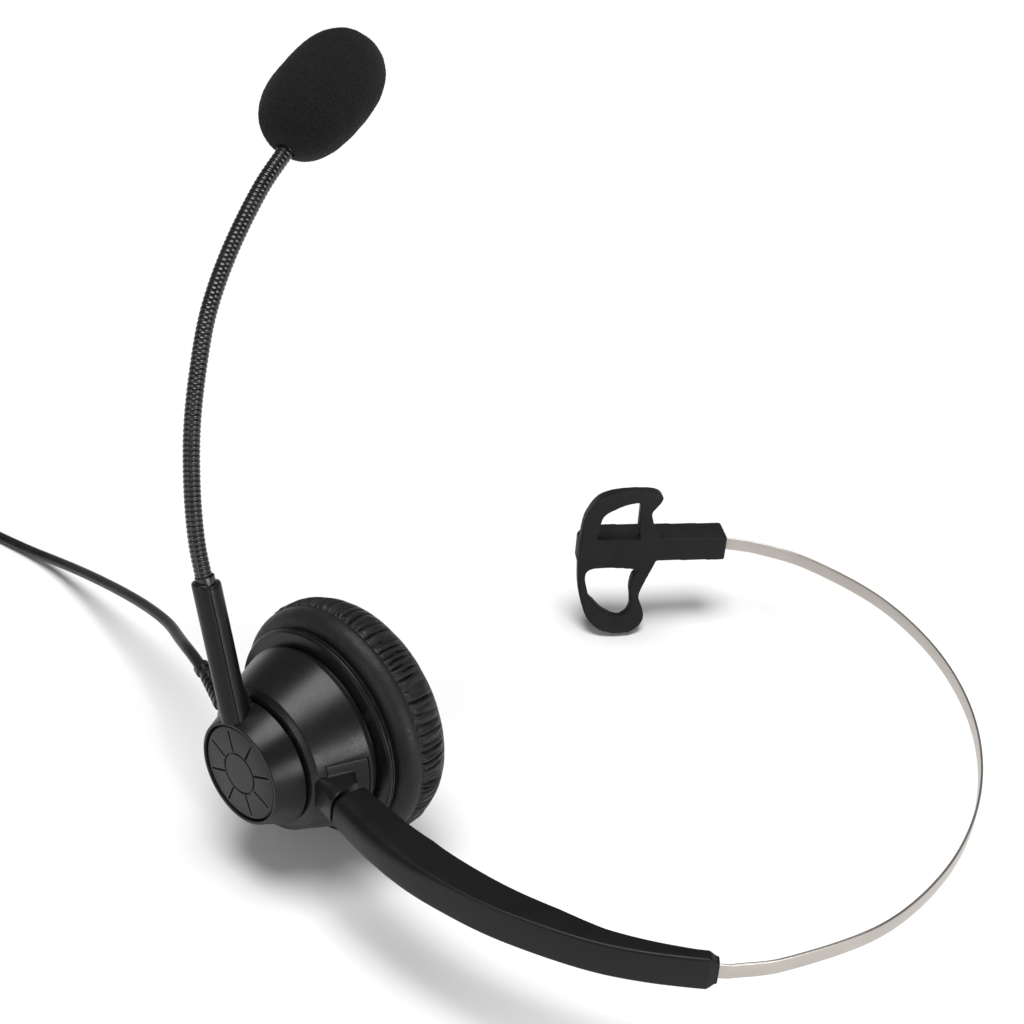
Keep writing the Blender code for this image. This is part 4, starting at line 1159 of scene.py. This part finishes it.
class Station:
    """The arm's section at one place along it, numbered as ARM_STATIONS are."""

    def __init__(self, place):
        i = min(max(int(place), 0), len(ARM_STATIONS) - 2)
        t = place - i
        rows = [ARM_STATIONS[min(max(k, 0), len(ARM_STATIONS) - 1)] for k in (i - 1, i, i + 1, i + 2)]
        values = []
        slopes = []
        for k, (a, b, c, d) in enumerate(zip(*rows)):
            if k > 1:
                values.append(b + (c - b) * min(1.0, max(0.0, t)))
                continue
            if i == 0:
                a = 2 * b - c
            if i == len(ARM_STATIONS) - 2:
                d = 2 * c - b
            terms = (2 * b, c - a, 2 * a - 5 * b + 4 * c - d, 3 * b - 3 * c + d - a)
            values.append(0.5 * sum(term * t**n for n, term in enumerate(terms)))
            slopes.append(0.5 * sum(n * term * t ** (n - 1) for n, term in enumerate(terms) if n))
        self.place = place
        self.x, self.y, self.thick, self.wall, self.cover, self.channel = values
        self.taper = ease(ARM_CHAMFER_FROM, ARM_END, place)
        along = Vector((slopes[0], slopes[1], 0)).normalized()
        self.inward = Vector((-along.y, along.x, 0))

    def point(self, depth, z):
        """A point at a depth from the outer face."""
        return Vector((self.x, self.y, z)) + self.inward * depth


def arm_sections(outline, places):
    return [[Station(p).point(depth, z) for depth, z in outline(Station(p))] for p in places]


def shell_outline(station):
    half = ARM_HALF - 1.25 * station.taper
    front, back = 0.4 * station.taper, station.thick - 0.35 * station.taper
    wall = station.wall + (back - station.wall - 0.15) * (1 - ease(0.2, 0.32, station.place))
    crisp = ease(0.3, 3.6, station.place)
    top, bottom = (min(soft + (0.75 - soft) * crisp, 0.45 * (back - front)) for soft in HEAD_SOFT)
    rear = min(0.8, 0.4 * (half - station.channel) + 0.2)
    inner = 0.12 + 1.3 * (1 - crisp) * ease(0.3, 0.6, station.place)
    corners = ((front, half), (back, half), (back, station.channel), (wall, station.channel))
    corners += tuple((depth, -z) for depth, z in reversed(corners))
    radii = (top, rear, 0.12, inner, inner, 0.12, rear, bottom)
    return rounded(corners, radii, closed=True, steps=8)


def cover_outline(station):
    """The cover lies between the shell's walls."""
    low, high = station.thick - station.cover, station.thick - 0.35 * station.taper - 0.04
    half = station.channel - 0.16
    corners = ((low, half), (high, half), (high, -half), (low, -half))
    return rounded(corners, (0.1, 0.22, 0.22, 0.1), closed=True)


def places_between(start, end, count):
    return [start + (end - start) * i / count for i in range(count + 1)]


def drawn_in(sections, share):
    """Pulls a section towards its middle, to round an end."""
    for ring, keep in zip(sections, share):
        middle = sum(ring, Vector()) / len(ring)
        for i, point in enumerate(ring):
            ring[i] = middle + (point - middle) * keep
    return sections


def arm_shells():
    ends = [0.0, 0.008, 0.02, 0.04]
    places = ends + places_between(0.07, ARM_CHAMFER_FROM, 150)
    places += places_between(ARM_CHAMFER_FROM, ARM_END, 10)[1:]
    keeps = [0.90, 0.94, 0.972, 0.992] + [1.0] * 160 + [0.985]
    outer = make("arm_outer", lofted(drawn_in(arm_sections(shell_outline, places), keeps)))
    combine(outer, "UNION", block((7.9, -26.0, -1.3), (11.0, -18.3, 1.3)))
    places = [0.33] + places_between(0.34, 8.88, 150) + [8.90, 8.915]
    keeps = [0.95] + [1.0] * 151 + [0.97, 0.9]
    inner = make("arm_inner", lofted(drawn_in(arm_sections(cover_outline, places), keeps)))
    for place in SCREW_STATIONS:
        station = Station(place)
        top = station.thick
        low = station.wall - 0.2
        seat = top - station.cover - ARM_GAP
        combine(outer, "UNION", rod(station.point(low, 0), station.point(seat, 0), POST_R))
        for shell, start, end, radius in (
            (outer, low + 1.2, seat + 1, SCREW_BORE_R),
            (inner, seat - 1, top + 1, SCREW_BORE_R),
            (inner, top - 1.0, top + 1, SCREW_HEAD_BORE_R),
        ):
            combine(shell, "DIFFERENCE", rod(station.point(start, 0), station.point(end, 0), radius))
    finish_piece(outer, ARM_LOOK, "arm", ["arm_shell_outer"], sharp=32)
    finish_piece(inner, ARM_LOOK, "arm", ["arm_shell_inner"], sharp=32)


# ---------------------------------------------------------------- headband and temple pad
BAND_CENTRE = (84.6, -59.4)
BAND_ARC_R = 75.0
BAND_HIDDEN_END = 197.0
BAND_TAB_END = 199.0
BAND_EXIT = 223.6
BAND_HALF_WIDTH = 1.8
BAND_TAB_HALF_WIDTH = 2.5
BAND_THICK = 0.6
BAND_KNOTS = (
    (40.7, -118.0),
    (62.5, -125.9),
    (85.8, -126.6),
    (108.6, -121.5),
    (129.6, -111.4),
    (147.9, -96.9),
    (162.3, -78.6),
    (171.4, -57.2),
    (173.2, -34.5),
    (169.6, -20.6),
)
PAD_CORNER = (162.3, -14.4)
PAD_ANGLE = -39.4
PAD_THICK = 2.7


def pad_point(along, away, z=0.0):
    """A point of the temple pad: along its stem towards the band, away from the head, and up."""
    turn = math.radians(PAD_ANGLE)
    stem = Vector((math.cos(turn), math.sin(turn), 0))
    out = Vector((-stem.y, stem.x, 0))
    return Vector((*PAD_CORNER, z)) + stem * along + out * away


def pad_place():
    turn = Matrix.Rotation(math.radians(PAD_ANGLE), 4, "Z")
    return Matrix.Translation(Vector((*PAD_CORNER, 0))) @ turn


def strip_ring(centre, across, half_width):
    """The band's section: a thin strip with rounded edges."""
    half = 0.5 * BAND_THICK
    corners = ((half, half_width), (-half, half_width), (-half, -half_width), (half, -half_width))
    outline = rounded(corners, 0.26, closed=True, steps=3)
    return [Vector((*(centre + across * side), z)) for side, z in outline]


def headband():
    rings, along = [], []
    centre = Vector(BAND_CENTRE)
    stops = [BAND_HIDDEN_END, 198.0, BAND_TAB_END, BAND_TAB_END + 0.15]
    stops += [BAND_TAB_END + 0.4 + (BAND_EXIT - BAND_TAB_END - 0.4) * i / 24 for i in range(25)]
    run = 0.0
    for angle in stops:
        turn = Vector((math.cos(math.radians(angle)), math.sin(math.radians(angle))))
        width = BAND_TAB_HALF_WIDTH if angle <= BAND_TAB_END else BAND_HALF_WIDTH
        rings.append(strip_ring(centre + turn * BAND_ARC_R, turn, width))
        run = BAND_ARC_R * math.radians(angle - BAND_HIDDEN_END)
        along.append(run)
    last = math.radians(BAND_EXIT + 0.1)
    first = centre + BAND_ARC_R * Vector((math.cos(last), math.sin(last)))
    stem = [pad_point(a, b).xy for a, b in ((1.2, 2.95), (-4.0, 3.9), (-9.0, 4.0), (-14.0, 4.0))]
    path = curve_through([first, *BAND_KNOTS, *stem], 1.2)
    for i in range(1, len(path)):
        ahead = (path[min(i + 1, len(path) - 1)] - path[i - 1]).normalized()
        rings.append(strip_ring(path[i], Vector((ahead.y, -ahead.x)), BAND_HALF_WIDTH))
        run += (path[i] - path[i - 1]).length
        along.append(run)
    count = len(rings[0])
    shape = lofted(rings)
    shape.verts.ensure_lookup_table()
    layer = shape.loops.layers.uv.new("UVMap")
    for face in shape.faces:
        for loop in face.loops:
            index = loop.vert.index
            loop[layer].uv = (along[index // count], loop.vert.co.z)
    band = make("band_strip", shape)
    finish_piece(band, BAND_LOOK, "band", ["headband"], sharp=40)


# The pad's plate, along its stem and away from the stem's middle plane, for its upper and lower halves.
PAD_UPPER = (
    (-41.8, 0.0), (-41.6, 6.0), (-41.0, 11.0), (-40.0, 15.5), (-38.4, 19.3), (-35.6, 21.5),
    (-31.9, 22.5), (-28.0, 22.7), (-24.9, 22.4), (-22.6, 21.2), (-21.0, 18.6), (-21.4, 15.6),
    (-22.6, 12.3), (-21.9, 9.4), (-20.9, 6.6), (-19.6, 3.5), (-19.2, 0.0),
)
PAD_LOWER = (
    (-41.6, 6.0), (-41.0, 12.0), (-39.9, 16.5), (-38.6, 19.3), (-35.6, 21.7), (-31.9, 22.6),
    (-28.7, 22.7), (-25.9, 22.1), (-23.7, 20.8), (-22.6, 19.0), (-22.9, 17.0), (-23.9, 14.4),
    (-23.3, 12.4), (-22.0, 9.8), (-20.7, 6.6), (-19.6, 3.5),
)
WINDOW_UPPER = (
    (-36.2, 2.6), (-36.5, 6.0), (-36.3, 9.2), (-35.4, 11.7), (-33.4, 13.6), (-31.0, 15.4), (-28.4, 16.5),
    (-26.8, 16.2), (-26.0, 12.0), (-25.6, 6.4), (-25.6, 2.6),
)
WINDOW_LOWER = (
    (-38.2, 6.3), (-38.4, 12.9), (-36.6, 15.2), (-34.3, 17.2), (-31.6, 18.5), (-29.3, 18.8),
    (-27.6, 18.0), (-26.5, 16.4), (-26.4, 14.0), (-26.6, 11.9), (-26.0, 8.6), (-25.6, 6.3),
)


def smooth_loop(points, spacing):
    """A smooth closed curve through an outline's points."""
    ring = [Vector((*point, 0)) for point in points]
    path = curve_through([*ring[-3:], *ring, *ring[:3]], 0.2)
    misses = [(point - ring[0]).length for point in path]
    middle = len(path) // 2
    start = misses.index(min(misses[:middle]))
    end = misses.index(min(misses[middle:]), middle)
    kept = spaced(path[start:end + 1], spacing)[:-1]
    return [(point.x, point.y) for point in kept]


def pad_away(z):
    """How far the middle of the curved plate lies from the head. Near the stem it's flush with the stem."""
    curved, flush = 3.0 - 0.0175 * z * z, 0.5 * PAD_THICK
    return 0.5 * (curved + flush - math.sqrt((curved - flush) ** 2 + 0.3))


def temple_pad():
    place = pad_place()
    outline = list(PAD_UPPER) + [(along, -z) for along, z in reversed(PAD_LOWER)]
    side = place @ Matrix.Rotation(math.radians(90), 4, "X") @ Matrix.Scale(-1, 4, (0, 0, 1))
    pad = make("pad_rubber_body", prism(smooth_loop(outline, 0.8), -14.0, 10.0, side))
    curve = [(pad_away(z), z) for z in (-24.5 + 49.0 * i / 98 for i in range(99))]
    rim = [(away - 0.5 * PAD_THICK, z) for away, z in curve]
    rim += [(away + 0.5 * PAD_THICK, z) for away, z in reversed(curve)]
    slab = lofted([[place @ Vector((along, away, z)) for away, z in rim] for along in (-46.0, -10.0)])
    combine(pad, "INTERSECT", slab)
    for window in (WINDOW_UPPER, [(along, -z) for along, z in WINDOW_LOWER]):
        combine(pad, "DIFFERENCE", prism(smooth_loop(window, 0.6), -14.0, 10.0, side))
    corners = ((-42.0, 1.0), (-41.0, 0.0), (0.0, 0.0), (0.0, 8.8), (-36.0, 8.8), (-40.5, 6.6), (-42.0, 4.4))
    stem = rounded(corners, (0.5, 0.5, 0.9, 0.9, 2.0, 2.0, 1.5), closed=True)
    combine(pad, "UNION", prism(stem, -3.55, 3.55, place))
    combine(pad, "DIFFERENCE", block((-30.0, 1.9, -2.3), (1.0, 6.2, 2.3), place))
    melted(pad, 0.30, 5)
    finish_piece(pad, PAD_LOOK, "band", ["temple_pad"], sharp=70)


# ---------------------------------------------------------------- tie and plug, in millimetres on the floor
def rectangle(low, high, radius, steps=5):
    corners = (low, (high[0], low[1]), high, (low[0], high[1]))
    return rounded(corners, radius, closed=True, steps=steps)


def cord_tie():
    """A strap round the winding, with rounded corners and a fine cross rib."""
    outer = rectangle((235.7, 0.0), (247.6, 12.4), 2.2, steps=8)
    centre = Vector((241.65, 6.2))
    sections = []
    x_middle = COIL_CENTRE[0] / MM
    for i in range(13):
        x = x_middle - 2.0 + 4.0 * i / 12
        edge = 0.12 * (abs(i - 6) == 6)
        ring = [Vector((x, *(centre + (p - centre) * (1 - edge / 6.0)))) for p in outer]
        sections.append(ring)
    tie = make("tie_strap", lofted(sections), FLOOR_MM)
    hollow = rectangle((236.5, 0.75), (246.8, 11.65), 1.6, steps=8)
    tool = [[Vector((x, y, z)) for y, z in hollow] for x in (x_middle - 5, x_middle + 5)]
    combine(tie, "DIFFERENCE", lofted(tool), FLOOR_MM)
    tail = block((x_middle - 2.0, 247.3, 3.2), (x_middle + 2.0, 248.3, 10.6))
    combine(tie, "UNION", tail, FLOOR_MM)
    finish_piece(tie, ARM_LOOK, "ear_cup", ["cord_tie"], sharp=35, bevel=0.15)
    return tie


def plug():
    low_x, high_x, low_z, high_z = -91.3, -84.7, 0.1, 7.7
    middle = 0.5 * (low_z + high_z)
    outline = rectangle((low_x, low_z), (high_x, high_z), 0.5)
    sections = [[Vector((x, y, z)) for x, z in outline] for y in (175.6, 188.9)]
    body = make("plug_shell", lofted(sections), FLOOR_MM)
    # Depth, low and high along the plug, middle and half height: four contact slots and one across.
    slots = [(1.9, 174.6, 180.6, middle + 1.1 * (i - 1.5), 0.40) for i in range(4)]
    for depth, near, far, z, half in [*slots, (0.8, 182.4, 184.2, middle, 2.4)]:
        slot = block((high_x - depth, near, z - half), (high_x + 1, far, z + half))
        combine(body, "DIFFERENCE", slot, FLOOR_MM)
    finish_piece(body, CLEAR, "ear_cup", ["plug_body"], bevel=0.14)
    back = low_x - 0.3
    leaf = []
    for y, away, wide in (
        (176.4, 0.0, 1.3), (178.0, 0.1, 1.6), (181.6, 0.5, 1.6), (186.0, 1.2, 1.6), (190.9, 2.2, 1.6),
    ):
        outline = rectangle((back - away - 0.9, -wide), (back - away, wide), 0.2)
        leaf.append([Vector((x, y, middle + z)) for x, z in outline])
    latch = make("plug_tongue", lofted(leaf), FLOOR_MM)
    finish_piece(latch, CLEAR, "ear_cup", ["plug_latch"], bevel=0.1)
    sleeve = [(0, 0), (0, 1.75), (0.5, 1.9)]
    for rib in range(3):
        start, more = 0.8 + 1.7 * rib, 0.08 * rib
        sleeve += [(start, 1.95 + more), (start + 0.15, 1.6), (start + 0.55, 1.6), (start + 0.7, 2.05 + more)]
    sleeve += [(5.8, 2.3), (6.0, 3.0), (8.0, 3.0), (8.0, 0)]
    place = along_x((-88.0, 197.2, middle), (0, -1, 0))
    boot = make("plug_sleeve", turned(rounded(sleeve, 0.15, steps=3), place, 48), FLOOR_MM)
    finish_piece(boot, NECK_LOOK, "ear_cup", ["plug_boot"])
    return [body, latch, boot]


def main():
    camera()
    studio()
    floor()
    dress_cad_nodes()
    line = cord()
    on_cord = [cord_tie(), *plug()]
    on_cord += [frame["nodes"][f"plug_contact_{i}"] for i in range(1, 5)]

    speaker_housing()
    arm_boss()
    bezel_ring()
    speaker_screen()
    ear_cushion()
    strain_relief()

    boom_hub()
    hub_cap()
    boom_tube()
    gooseneck()
    windscreen()

    arm_shells()
    headband()
    temple_pad()


main()
